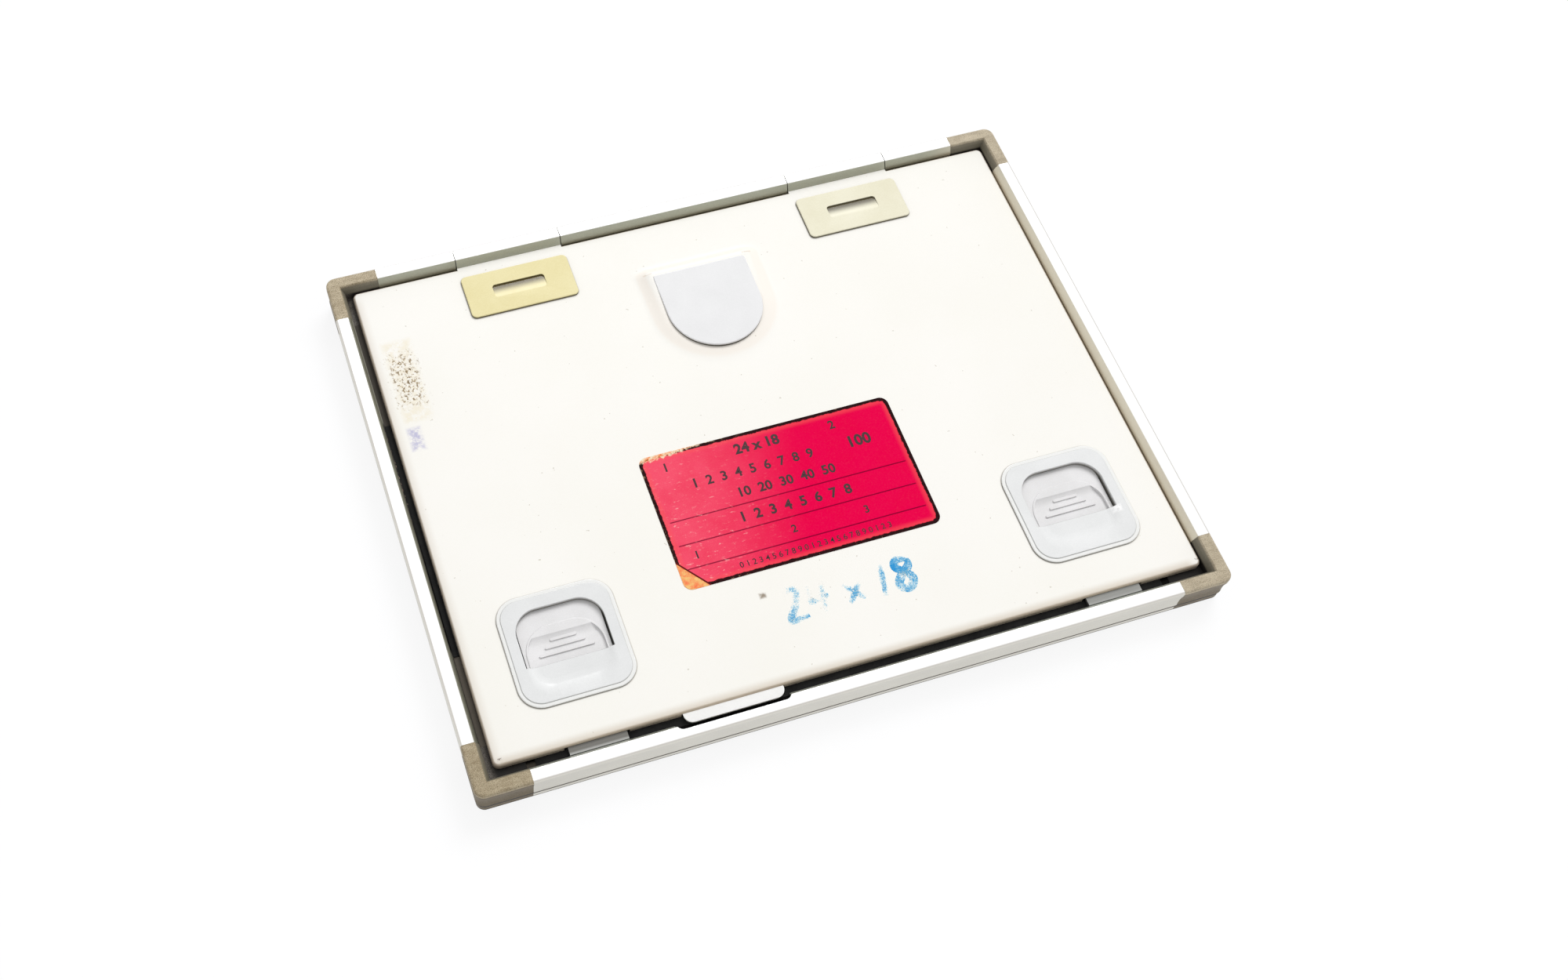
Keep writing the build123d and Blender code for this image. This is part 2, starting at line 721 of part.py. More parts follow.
# --------------------------------------------------------------- hinge knuckles and pins
for side, knuckle_x in hinge_centres.items():
    knuckle_start = knuckle_x - knuckle_width / 2
    leaf_length = leaf_reach - pivot_inset
    with BuildPart() as hinge_knuckle:
        with BuildSketch(side_plane("far", knuckle_start)):
            with Locations((-pivot_inset, pivot_height)):
                Circle(knuckle_radius)
                Rectangle(pivot_inset, frame_height - pivot_height, align=(Align.MIN, Align.MIN))
            with Locations((-pivot_inset, leaf_foot)):
                Rectangle(wall_inset - pivot_inset, frame_height - leaf_foot, align=(Align.MAX, Align.MIN))
            add(rail_outline.sketch, mode=Mode.INTERSECT)
            with Locations((-pivot_inset, leaf_foot)):
                Rectangle(leaf_length, leaf_thickness, align=(Align.MAX, Align.MIN))
            with Locations((-pivot_inset, pivot_height)):
                Circle(pin_radius + pin_running_clearance, mode=Mode.SUBTRACT)
        extrude(amount=knuckle_width)
        with BuildSketch(Plane.XY.offset(leaf_foot)):
            with Locations((cover_centres[side], cover_y)):
                with GridLocations(rivet_spacing, 0, 2, 1):
                    Circle(rivet_radius + rivet_clearance)
        extrude(amount=leaf_thickness, mode=Mode.SUBTRACT)
    save(hinge_knuckle.part, f"hinge_knuckle_{side}")

    pin_length = knuckle_width + 2 * (knuckle_gap + pin_seat_length - pin_seat_clearance)
    with BuildPart() as hinge_pin:
        with BuildSketch(side_plane("far", knuckle_x - pin_length / 2)):
            with Locations((-pivot_inset, pivot_height)):
                Circle(pin_radius)
        extrude(amount=pin_length)
    save(hinge_pin.part, f"hinge_pin_{side}")

with BuildPart() as hinge_rivets:
    for cover_x in cover_centres.values():
        with BuildSketch(at(cover_x, cover_y, leaf_foot - rivet_head_height)):
            with GridLocations(rivet_spacing, 0, 2, 1):
                Circle(rivet_radius)
        extrude(amount=lid_height + rivet_head_height - leaf_foot + rivet_head_height)
        for head_foot in (leaf_foot - rivet_head_height, lid_height):
            with BuildSketch(at(cover_x, cover_y, head_foot)):
                with GridLocations(rivet_spacing, 0, 2, 1):
                    Circle(rivet_head_radius)
            extrude(amount=rivet_head_height)
save(hinge_rivets.part, "hinge_rivets")

# Fingernail dip with round corners, deepest at its far wall.
with BuildPart() as cover_dip:
    with BuildSketch(lengthwise(-cover_dip_length / 2, 0)):
        with BuildLine():
            Polyline(
                (-cover_dip_width / 2, 0),
                (cover_dip_width / 2, -cover_dip_depth),
                (cover_dip_width / 2, 0),
                close=True,
            )
        make_face()
    extrude(amount=cover_dip_length)
    with BuildSketch(Plane.XY.offset(-cover_dip_depth)):
        RectangleRounded(cover_dip_length, cover_dip_width, cover_dip_corner_radius)
    extrude(amount=cover_dip_depth, mode=Mode.INTERSECT)

# Each cover has the dip in its top, and clears the rivet heads.
for side, cover_x in cover_centres.items():
    cover_top = lid_height + cover_thickness
    with BuildPart() as hinge_cover:
        with BuildSketch(at(cover_x, cover_y, lid_height)):
            RectangleRounded(cover_length, cover_width, cover_corner_radius)
        extrude(amount=cover_thickness)
        fillet(hinge_cover.faces().sort_by(Axis.Z)[-1].edges(), cover_edge_radius)
        add(cover_dip.part.moved(Location((cover_x, cover_y + cover_dip_offset, cover_top))), mode=Mode.SUBTRACT)
        with BuildSketch(at(cover_x, cover_y, lid_height)):
            with GridLocations(rivet_spacing, 0, 2, 1):
                Circle(rivet_head_radius + rivet_clearance)
        extrude(amount=rivet_head_height + rivet_clearance, mode=Mode.SUBTRACT)
    save(hinge_cover.part, f"hinge_cover_{side}")


# ------------------------------------------------------------- centre cap, stud, spacer
with BuildPart() as centre_cap:
    with BuildSketch(at(lid_fitting_shift, cap_y, lid_height)):
        add(cap_outline.sketch)
    extrude(amount=cap_thickness)
    fillet(centre_cap.faces().sort_by(Axis.Z)[-1].edges(), cap_edge_radius)
    with BuildSketch(at(lid_fitting_shift, cap_y, lid_height)):
        Circle(stud_head_radius + cap_clearance)
    extrude(amount=stud_head_height + cap_clearance, mode=Mode.SUBTRACT)
save(centre_cap.part, "centre_cap")

with BuildPart() as centre_stud:
    with BuildSketch(at(lid_fitting_shift, cap_y, plate_foot)):
        Circle(stud_radius)
    extrude(amount=lid_height - plate_foot)
    with BuildSketch(at(lid_fitting_shift, cap_y, lid_height)):
        Circle(stud_head_radius)
    extrude(amount=stud_head_height)
save(centre_stud.part, "centre_stud")

with BuildPart() as stud_spacer:
    with BuildSketch(at(lid_fitting_shift, cap_y, plate_top)):
        Circle(spacer_radius)
        Circle(stud_radius + rivet_clearance, mode=Mode.SUBTRACT)
    extrude(amount=standoff_length)
save(stud_spacer.part, "stud_spacer")


# ------------------------------------------------- pressure plate, lead, foam and screen
plate_length = well_length - 2 * plate_gap
plate_width = well_width_y - 2 * plate_gap
standoff_x = plate_length / 2 - standoff_inset_x
standoff_far_y = plate_width / 2 - standoff_inset_y
standoff_near_y = latch_y + well_far_reach + standoff_latch_gap
STANDOFFS = [(x, y) for x in (-standoff_x, standoff_x) for y in (standoff_near_y, standoff_far_y)]
STANDOFFS.append((0, -standoff_far_y))

with BuildPart() as pressure_plate:
    with BuildSketch(Plane.XY.offset(plate_foot)):
        RectangleRounded(plate_length, plate_width, lid_corner_radius)
        with Locations((lid_fitting_shift, cap_y)):
            Circle(stud_radius + rivet_clearance, mode=Mode.SUBTRACT)
        with Locations(*STANDOFFS):
            Circle(plate_screw_radius + rivet_clearance, mode=Mode.SUBTRACT)
    extrude(amount=plate_thickness)
    with BuildSketch(Plane.XY.offset(plate_foot)):
        with Locations(*STANDOFFS):
            Circle(plate_screw_head_radius + rivet_clearance)
    extrude(amount=plate_screw_head_height, mode=Mode.SUBTRACT)
save(pressure_plate.part, "pressure_plate")

with BuildPart() as plate_standoffs:
    with BuildSketch(Plane.XY.offset(plate_top)):
        with Locations(*STANDOFFS):
            Circle(standoff_radius)
    extrude(amount=standoff_length)
    with BuildSketch(Plane.XY.offset(plate_top)):
        with Locations(*STANDOFFS):
            Circle(plate_screw_radius + thread_clearance)
    extrude(amount=plate_screw_grip + thread_clearance, mode=Mode.SUBTRACT)
save(plate_standoffs.part, "plate_standoffs")

with BuildPart() as plate_screws:
    with BuildSketch(Plane.XY.offset(plate_foot)):
        with Locations(*STANDOFFS):
            Circle(plate_screw_radius)
    extrude(amount=plate_thickness + plate_screw_grip)
    with BuildSketch(Plane.XY.offset(plate_foot)):
        with Locations(*STANDOFFS):
            Circle(plate_screw_head_radius)
    extrude(amount=plate_screw_head_height)
save(plate_screws.part, "plate_screws")

LAYERS = {
    "lead_sheet": (lead_foot, lead_thickness, foam_overlap),
    "foam_pad": (foam_foot, foam_thickness, foam_overlap),
    "rear_screen": (rear_screen_foot, screen_thickness, 0.0),
}
for name, (foot, thickness, overlap) in LAYERS.items():
    with BuildPart() as layer:
        with BuildSketch(Plane.XY.offset(foot)):
            RectangleRounded(film_length + 2 * overlap, film_width + 2 * overlap, frame_corner_radius)
        extrude(amount=thickness)
    save(layer.part, name)


# -------------------------------------------------------------------------------- latches
well_centre_y = latch_y + (well_far_reach - well_near_reach) / 2
well_total = well_far_reach + well_near_reach
bridge_y = latch_y - bridge_reach
housing_inner = skirt_size + 2 * skirt_clearance
housing_far_y = latch_y + tray_far_reach + latch_retract + tray_clearance
housing_near_y = latch_y - housing_near_reach
housing_depth = housing_far_y - housing_near_y
scoop_floor = slide_top - scoop_depth
shoulder_y = latch_y - slide_shoulder_reach
slide_near_y = latch_y - slide_near_reach
joint_length = slide_near_reach - slide_shoulder_reach


def draw_well(width, length, radius, far_y, near_y):
    """Rounded rectangle hanging from far_y, cut off straight at near_y."""
    with BuildSketch() as outline:
        with Locations((0, far_y - length / 2)):
            RectangleRounded(width, length, radius)
        with Locations((0, near_y)):
            Rectangle(width, length, align=(Align.CENTER, Align.MIN), mode=Mode.INTERSECT)
    return outline.sketch


# T-shaped tail that keys the bolt into the slide, grown by a clearance for the slot.
def draw_bolt_tail(clearance):
    with BuildSketch() as tail:
        with Locations((0, -clearance)):
            Rectangle(
                bolt_neck_width + 2 * clearance,
                joint_length / 2 + 2 * clearance,
                align=(Align.CENTER, Align.MIN),
            )
        with Locations((0, joint_length / 2 - clearance)):
            Rectangle(
                bolt_head_width + 2 * clearance,
                joint_length / 2 - bolt_joint_clearance + 2 * clearance,
                align=(Align.CENTER, Align.MIN),
            )
    return tail.sketch


for side, latch_x in latch_centres.items():
    # Bezel: flange and plateau over the lid sheet, skirt below it. Its far part is open
    # down to the slide and its near part is a dished bridge over the slide.
    with BuildPart() as latch_bezel:
        with BuildSketch(at(latch_x, latch_y, lid_height)):
            RectangleRounded(bezel_size, bezel_size, bezel_corner_radius)
        extrude(amount=bezel_flange)
        fillet(latch_bezel.faces().sort_by(Axis.Z)[-1].edges(), bezel_edge_radius)
        with BuildSketch(at(latch_x, latch_y, lid_height + bezel_flange)):
            RectangleRounded(
                bezel_size - 2 * bezel_rim, bezel_size - 2 * bezel_rim, bezel_corner_radius - bezel_rim
            )
        extrude(amount=bezel_plateau)
        fillet(latch_bezel.faces().sort_by(Axis.Z)[-1].edges(), bezel_plateau / 2)
        with BuildSketch(at(latch_x, latch_y, lid_skirt_foot)):
            RectangleRounded(skirt_size, skirt_size, skirt_corner_radius)
        extrude(amount=lid_height - lid_skirt_foot)
        with BuildSketch(at(latch_x, well_centre_y, dish_floor)):
            RectangleRounded(
                well_width - 2 * dish_slope_x, well_total - 2 * dish_slope_y, dish_corner_radius
            )
        with BuildSketch(at(latch_x, well_centre_y, bezel_top)):
            RectangleRounded(well_width, well_total, well_corner_radius)
        loft(mode=Mode.SUBTRACT)
        with BuildSketch(at(latch_x, latch_y, lid_skirt_foot)):
            add(draw_well(well_width, well_total, well_corner_radius, well_far_reach, -bridge_reach))
        extrude(amount=bezel_top - lid_skirt_foot, mode=Mode.SUBTRACT)
        with BuildSketch(at(latch_x, bridge_y, lid_skirt_foot)):
            Rectangle(well_width, well_total, align=(Align.CENTER, Align.MAX))
        extrude(amount=bridge_foot - lid_skirt_foot, mode=Mode.SUBTRACT)
        with BuildSketch(at(latch_x, latch_y, lid_skirt_foot)):
            Rectangle(
                2 * (tray_half_width + tray_clearance), skirt_size, align=(Align.CENTER, Align.MIN)
            )
        extrude(amount=tray_top + tray_clearance - lid_skirt_foot, mode=Mode.SUBTRACT)
    save(latch_bezel.part, f"latch_bezel_{side}")

    # Housing: open box under the lid sheet, slotted for the bolt in its near wall.
    with BuildPart() as latch_housing:
        with BuildSketch(at(latch_x, housing_far_y + housing_wall, housing_floor_top - housing_floor)):
            Rectangle(
                housing_inner + 2 * housing_wall,
                housing_depth + 2 * housing_wall,
                align=(Align.CENTER, Align.MAX),
            )
        extrude(amount=sheet_foot - housing_floor_top + housing_floor)
        with BuildSketch(at(latch_x, housing_far_y, housing_floor_top)):
            Rectangle(housing_inner, housing_depth, align=(Align.CENTER, Align.MAX))
        extrude(amount=sheet_foot - housing_floor_top, mode=Mode.SUBTRACT)
        with BuildSketch(at(latch_x, housing_near_y, housing_floor_top)):
            Rectangle(bolt_width + 2 * bolt_side_clearance, 4 * housing_wall)
        extrude(amount=sheet_foot - housing_floor_top, mode=Mode.SUBTRACT)
    save(latch_housing.part, f"latch_housing_{side}")

    # Thumb scoop: the slide's outline set in by a rim, with a curved far wall.
    with BuildPart() as thumb_scoop:
        with BuildSketch(at(latch_x, latch_y, scoop_floor)):
            add(draw_well(
                2 * (slide_half_width - scoop_rim),
                2 * slide_near_reach,
                slide_corner_radius - scoop_rim,
                slide_far_reach - scoop_rim,
                -scoop_near_reach,
            ))
        extrude(amount=scoop_depth)
        with BuildSketch(lengthwise(latch_x, latch_y)):
            with BuildLine():
                wall = TangentArc(
                    (scoop_wall_reach - scoop_wall_run, scoop_floor),
                    (scoop_wall_reach, slide_top),
                    tangent=(1, 0),
                )
                Polyline(
                    wall @ 1,
                    (-scoop_near_reach, slide_top),
                    (-scoop_near_reach, scoop_floor),
                    wall @ 0,
                )
            make_face()
        extrude(amount=slide_half_width, both=True, mode=Mode.INTERSECT)

    # Slide: D-shaped thumb piece that runs under the bridge to a pair of shoulders, on a
    # thin tray that fills the rest of the well.
    with BuildPart() as thumb_slide:
        with BuildSketch(at(latch_x, latch_y, slide_foot)):
            add(draw_well(
                2 * slide_half_width,
                2 * slide_near_reach,
                slide_corner_radius,
                slide_far_reach,
                -slide_shoulder_reach,
            ))
        extrude(amount=slide_height)
        fillet(thumb_slide.faces().sort_by(Axis.Z)[-1].edges(), slide_edge_radius)
        with BuildSketch(at(latch_x, latch_y, slide_foot)):
            add(draw_well(
                2 * tray_half_width,
                2 * tray_far_reach,
                tray_corner_radius,
                tray_far_reach,
                -slide_shoulder_reach,
            ))
        extrude(amount=slide_height - tray_drop)
        with BuildSketch(at(latch_x, shoulder_y, slide_foot)):
            Rectangle(2 * slide_shoulder_half_width, joint_length, align=(Align.CENTER, Align.MAX))
        extrude(amount=slide_height - shoulder_drop)
        add(thumb_scoop.part, mode=Mode.SUBTRACT)
        with BuildSketch(at(latch_x, latch_y, scoop_floor)):
            for index, rib_length in enumerate(rib_lengths):
                with Locations((0, rib_first_reach - index * rib_pitch)):
                    SlotOverall(rib_length, rib_width)
        extrude(amount=rib_height)
        with BuildSketch(at(latch_x, slide_near_y, slide_foot)):
            add(draw_bolt_tail(bolt_joint_clearance))
        extrude(amount=slide_height, mode=Mode.SUBTRACT)
    save(thumb_slide.part, f"thumb_slide_{side}")

    # Bolt: flat steel strip whose nose goes into the slot in the near rail.
    strip_root_y = slide_near_y - bolt_joint_clearance
    with BuildPart() as bolt:
        with BuildSketch(at(latch_x, strip_root_y, slide_foot)):
            Rectangle(bolt_width, strip_root_y - bolt_nose_y, align=(Align.CENTER, Align.MAX))
            with Locations((0, bolt_joint_clearance)):
                add(draw_bolt_tail(0))
            Rectangle(bolt_neck_width, bolt_joint_clearance, align=(Align.CENTER, Align.MIN))
        extrude(amount=bolt_height)
        chamfer(
            bolt.faces().sort_by(Axis.Y)[0].edges().filter_by(Axis.X).sort_by(Axis.Z)[-1],
            bolt_nose_chamfer,
        )
    save(bolt.part, f"bolt_{side}")

    # Two tension springs draw the slide towards the near rail.
    with BuildPart() as latch_springs:
        spring_height = (housing_floor_top + slide_top - shoulder_drop) / 2
        coil_length = slide_near_y - housing_near_y - 2 * spring_wire
        for spring_x in (latch_x - spring_offset, latch_x + spring_offset):
            with BuildLine() as coil:
                Helix(
                    pitch=spring_pitch,
                    height=coil_length,
                    radius=spring_radius - spring_wire,
                    center=(spring_x, housing_near_y + spring_wire, spring_height),
                    direction=(0, 1, 0),
                )
            with BuildSketch(Plane(origin=coil.line @ 0, z_dir=coil.line % 0)):
                Circle(spring_wire)
            sweep(path=coil.line)
    save(latch_springs.part, f"latch_springs_{side}")


# ----------------------------------------------------------------- lifting tab and label
with BuildPart() as lifting_tab:
    with BuildSketch(at(tab_centre, lid_near, sheet_foot - tab_thickness)) as tab_outline:
        with Locations((0, tab_root)):
            Rectangle(tab_width, tab_root + tab_reach, align=(Align.CENTER, Align.MAX))
        fillet(tab_outline.vertices().group_by(Axis.Y)[0], tab_corner_radius)
    extrude(amount=tab_thickness)
save(lifting_tab.part, "lifting_tab")

with BuildPart() as label:
    with BuildSketch(at(lid_centre_x + label_shift[0], lid_centre_y + label_shift[1], lid_height)):
        RectangleRounded(label_length, label_width, label_corner_radius)
    extrude(amount=label_thickness)
save(label.part, "label")
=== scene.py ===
"""X-ray film cassette: finishes, modelled pieces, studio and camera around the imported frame."""
import json
import math

import bmesh
import bpy
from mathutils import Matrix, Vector

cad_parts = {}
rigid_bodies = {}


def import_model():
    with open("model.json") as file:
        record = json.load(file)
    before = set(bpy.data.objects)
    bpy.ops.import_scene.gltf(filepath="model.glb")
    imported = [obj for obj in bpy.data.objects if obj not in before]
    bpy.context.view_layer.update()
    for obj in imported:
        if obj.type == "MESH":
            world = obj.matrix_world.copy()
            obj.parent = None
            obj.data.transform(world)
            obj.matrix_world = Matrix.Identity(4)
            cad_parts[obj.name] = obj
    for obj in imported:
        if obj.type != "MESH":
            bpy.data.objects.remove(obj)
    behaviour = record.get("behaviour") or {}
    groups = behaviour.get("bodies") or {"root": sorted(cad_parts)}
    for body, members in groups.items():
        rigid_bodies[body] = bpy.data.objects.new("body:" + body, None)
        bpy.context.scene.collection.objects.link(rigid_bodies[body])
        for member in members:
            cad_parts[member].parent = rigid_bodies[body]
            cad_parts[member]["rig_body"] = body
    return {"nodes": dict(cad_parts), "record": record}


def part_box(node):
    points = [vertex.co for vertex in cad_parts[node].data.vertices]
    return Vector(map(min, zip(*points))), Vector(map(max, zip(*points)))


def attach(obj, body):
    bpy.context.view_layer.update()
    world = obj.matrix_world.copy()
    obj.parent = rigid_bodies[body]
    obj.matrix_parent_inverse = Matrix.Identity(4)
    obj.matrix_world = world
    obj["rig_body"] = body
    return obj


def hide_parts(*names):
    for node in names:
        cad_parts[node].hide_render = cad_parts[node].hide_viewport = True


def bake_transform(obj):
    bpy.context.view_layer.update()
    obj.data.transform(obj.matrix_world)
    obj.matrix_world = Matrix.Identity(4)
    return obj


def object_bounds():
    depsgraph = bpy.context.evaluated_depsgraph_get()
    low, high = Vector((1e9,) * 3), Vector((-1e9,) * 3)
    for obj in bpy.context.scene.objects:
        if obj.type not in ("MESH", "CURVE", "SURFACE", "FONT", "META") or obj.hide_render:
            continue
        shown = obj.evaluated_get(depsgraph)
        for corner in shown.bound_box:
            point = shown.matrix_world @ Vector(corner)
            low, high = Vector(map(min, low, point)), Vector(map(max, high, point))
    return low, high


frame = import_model()
cad_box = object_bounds()
nodes = frame["nodes"]
node_bodies = {}
for body_name, members in frame["record"]["behaviour"]["bodies"].items():
    for member in members:
        node_bodies[member] = body_name

MM = 0.001
SIDES = ("left", "right")


def middle(node):
    """Middle of a CAD node's box, in millimetres."""
    low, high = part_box(node)
    return (low + high) / 2 / MM


def tone(red, green, blue):
    """A display colour, 0 to 255, as the linear colour that sockets take."""
    linear = []
    for part in (red, green, blue):
        share = part / 255
        linear.append(share / 12.92 if share <= 0.04045 else ((share + 0.055) / 1.055) ** 2.4)
    return (*linear, 1.0)


# ------------------------------------------------------------------------ surface maths
class Value:
    """A number or colour that varies over a surface."""

    def __init__(self, finish, socket):
        self.finish = finish
        self.socket = socket

    def math(self, operation, first, second=0.0):
        return self.finish.node("Math", {"operation": operation}, {0: first, 1: second})

    def __add__(self, other):
        return self.math("ADD", self, other)

    def __radd__(self, other):
        return self.math("ADD", other, self)

    def __sub__(self, other):
        return self.math("SUBTRACT", self, other)

    def __rsub__(self, other):
        return self.math("SUBTRACT", other, self)

    def __mul__(self, other):
        return self.math("MULTIPLY", self, other)

    def __rmul__(self, other):
        return self.math("MULTIPLY", other, self)

    def root(self):
        return self.math("SQRT", self)

    def size(self):
        return self.math("ABSOLUTE", self)

    def most(self, other):
        return self.math("MAXIMUM", self, other)

    def least(self, other):
        return self.math("MINIMUM", self, other)

    def fade(self, start, end):
        """0 at start and 1 at end, with soft ends."""
        settings = {"interpolation_type": "SMOOTHSTEP"}
        if start < end:
            inputs = {"Value": self, "From Min": start, "From Max": end}
            return self.finish.node("MapRange", settings, inputs)
        inputs = {"Value": self, "From Min": end, "From Max": start}
        return 1 - self.finish.node("MapRange", settings, inputs)


class Finish:
    """One finish: its material, and the surface position in millimetres."""

    def __init__(self, name, **constants):
        self.material = bpy.data.materials.new(name)
        self.material.use_nodes = True
        self.tree = self.material.node_tree
        self.shader = self.tree.nodes["Principled BSDF"]
        for socket, value in constants.items():
            self.shader.inputs[socket.replace("_", " ")].default_value = value
        place = self.node("TexCoord", out="Object")
        settings = {"operation": "MULTIPLY"}
        self.place = self.node("VectorMath", settings, {0: place, 1: (1 / MM, 1 / MM, 1 / MM)})
        split = self.node("SeparateXYZ", inputs={0: self.place}).socket.node
        self.x, self.y, self.z = (Value(self, socket) for socket in split.outputs)

    def node(self, kind, settings=None, inputs=None, out=0):
        """Adds a node: its settings first, then the values or links of its sockets."""
        made = self.tree.nodes.new("ShaderNode" + kind)
        for name, setting in (settings or {}).items():
            setattr(made, name, setting)
        for key, value in (inputs or {}).items():
            if isinstance(value, Value):
                self.tree.links.new(value.socket, made.inputs[key])
            else:
                made.inputs[key].default_value = value
        return Value(self, made.outputs[out])

    def feed(self, socket, value):
        self.tree.links.new(value.socket, self.shader.inputs[socket])

    def grain(self, size, detail=3.0, roughness=0.5, stretch=(1, 1, 1), seed=0.0):
        """Noise around 0.5 with features of that size in millimetres, stretched along an axis."""
        scale = [1 / (size * part) for part in stretch]
        settings = {"vector_type": "POINT"}
        inputs = {"Vector": self.place, "Location": (seed, seed * 1.7, seed * 0.6), "Scale": scale}
        at = self.node("Mapping", settings, inputs)
        inputs = {"Vector": at, "Scale": 1.0, "Detail": detail, "Roughness": roughness}
        return self.node("TexNoise", {}, inputs)

    def mix(self, factor, first, second):
        """Colour between first and second."""
        settings = {"data_type": "RGBA", "clamp_factor": True}
        return self.node("Mix", settings, {0: factor, 6: first, 7: second}, out=2)

    def box(self, centre, size, soft):
        """1 inside a rectangle seen from above, falling to 0 over the soft width around it."""
        across = (self.x - centre[0]).size() - size[0] / 2
        along = (self.y - centre[1]).size() - size[1] / 2
        return across.most(along).fade(soft, 0.0)

    def plate(self, centre, size, radius):
        """Distance out from a rounded rectangle seen from above, negative inside."""
        across = (self.x - centre[0]).size() - (size[0] / 2 - radius)
        along = (self.y - centre[1]).size() - (size[1] / 2 - radius)
        out_x, out_y = across.most(0.0), along.most(0.0)
        corner = (out_x * out_x + out_y * out_y).root()
        return corner + across.most(along).least(0.0) - radius

    def dip(self, height, depth, rounding=0.0):
        """Feeds Normal: bumps of that depth in millimetres, over edges rounded by that radius."""
        inputs = {"Height": height, "Strength": 1.0, "Distance": depth * MM}
        if rounding:
            inputs["Normal"] = self.node("Bevel", {"samples": 4}, {"Radius": rounding * MM})
        self.feed("Normal", self.node("Bump", {}, inputs))


# ----------------------------------------------------------------------------- finishes
# a latch surround: its plate, and the field raised inside the plate's border
bezel_width, bezel_radius = 39.8, 8.0
field_width, field_radius = 37.2, 6.7
cover_size, cover_radius = (40.2, 18.4), 2.0
latch_seats = [tuple(middle(f"latch_bezel_{side}")[:2]) for side in SIDES]
cover_seats = [tuple(middle(f"hinge_cover_{side}")[:2]) for side in SIDES]
plate_outlines = [(seat, (bezel_width, bezel_width), bezel_radius) for seat in latch_seats]
plate_outlines += [(seat, cover_size, cover_radius) for seat in cover_seats]
half_x, half_y = (edge / MM for edge in cad_box[1][:2])


def inset(made):
    """Distance in from the nearest outer side of the frame, in millimetres."""
    return (half_x - made.x.size()).least(half_y - made.y.size())


def painted_seam_shade(made, colour, dark):
    """Painted shade in the parting line between the upper rails and the front frame, and at the foot.
    """
    line = made.z.fade(3.35, 3.8) * made.z.fade(5.4, 5.15)
    foot = made.z.fade(2.2, 1.3)
    return made.mix(line.most(foot), colour, dark)


def rail_metal(name, along):
    """Extruded anodised aluminium: polished rims, greyer sides that are partly painted shade, drawing
    lines along the rail, painted reflection and shade inside the frame.
    """
    made = Finish(name, Metallic=1.0)
    stretch = (60, 1, 1) if along == "x" else (1, 60, 1)
    lines = made.grain(0.35, 2.0, 0.6, stretch)
    cloud = made.grain(14, 3.0, 0.5, seed=3.1)
    fine = made.grain(0.3, 3.0, 0.7, seed=6.0)
    deep = inset(made)
    inner_side = deep.fade(4.45, 4.65)
    at_left = (made.x + 100).fade(0.0, -20.0)
    at_near = (made.y + 90).fade(0.0, -4.0)
    # the sides' grey is partly the anodised finish and partly painted shade
    side = made.mix(cloud * 0.4 + fine * 0.6, tone(196, 194, 186), tone(238, 236, 228))
    side = painted_seam_shade(made, side, tone(84, 76, 66))
    rim = made.z.fade(14.5, 14.9)
    top = made.mix(lines, tone(247, 248, 246), tone(252, 252, 251))
    # painted shade on the rim's outer rounding
    top = made.mix(deep.fade(0.9, 0.35), top, tone(206, 202, 196))
    colour = made.mix(rim, side, top)
    # painted reflection and shade: the inner bevel's grey-green, lighter on the right and near rails
    bevel = made.mix(fine, tone(146, 148, 134), tone(184, 184, 168))
    bevel = made.mix((made.x - 100).fade(0.0, 24.0), bevel, tone(212, 206, 190))
    bevel = made.mix(at_near * 0.6, bevel, tone(196, 202, 196))
    # painted shade on the ledge: mottled dark grey on the left side, near black elsewhere
    ledge_shade = made.mix(fine * 0.5 + cloud * 0.5, tone(56, 52, 46), tone(98, 92, 84))
    ledge_shade = made.mix(at_left, tone(24, 23, 22), ledge_shade)
    # black tape worn bright in places, along the middle of the left side only
    tape = at_left * (made.y + 6.0).size().fade(46.0, 44.0)
    # the painted shade on the ledge reaches a different height on each side
    low = made.z + at_near * 0.75 + (made.x - 100).fade(0.0, 20.0) * 2.6
    low = low + (made.y - 90).fade(0.0, 4.0) * 2.6
    bevel = made.mix(low.fade(12.6, 11.9) * (1 - tape * 0.6), bevel, ledge_shade)
    bevel = made.mix(tape * made.z.fade(12.9, 12.5), bevel, tone(16, 15, 15))
    flecks = made.grain(0.7, 5.0, 0.8, (1, 2.2, 1), seed=17.0).fade(0.57, 0.63)
    flecks = flecks * tape * (made.y - 16.0).size().fade(22.0, 10.0) * made.z.fade(13.2, 12.6)
    wear_and_sheen = made.mix(fine.fade(0.45, 0.55), tone(250, 226, 206), tone(206, 170, 150))
    bevel = made.mix(flecks, bevel, wear_and_sheen)
    # painted shade: black deep down in the gap below the ledge
    bevel = made.mix(made.z.fade(9.2, 8.7) * deep.fade(8.0, 9.4), bevel, tone(12, 12, 12))
    colour = made.mix(inner_side, colour, bevel)
    rub = made.grain(0.9, 5.0, 0.7, seed=8.0).fade(0.7, 0.78)
    colour = made.mix(rub * 0.45, colour, tone(120, 112, 100))
    # the left side's far half is dirty and dull below its bevel
    dull = low.fade(12.9, 12.2) * inner_side * at_left * made.y.fade(-30.0, 20.0) * 0.85
    made.feed("Base Color", colour)
    made.feed("Metallic", 1 - dull * 0.95)
    made.feed("Roughness", 0.3 + lines * 0.16 + cloud * 0.1 + dull * 0.45)
    made.dip(lines, 0.012, 0.2)
    return made


def plain_metal(name, dark, light, roughness, grain_size=0.5, rounding=0.12):
    """Turned or rolled metal with fine grain."""
    made = Finish(name, Metallic=1.0)
    grain = made.grain(grain_size, 4.0, 0.6)
    made.feed("Base Color", made.mix(grain.fade(0.3, 0.7), tone(*dark), tone(*light)))
    made.feed("Roughness", roughness + (grain - 0.5) * 0.3)
    made.dip(grain, 0.01, rounding)
    return made


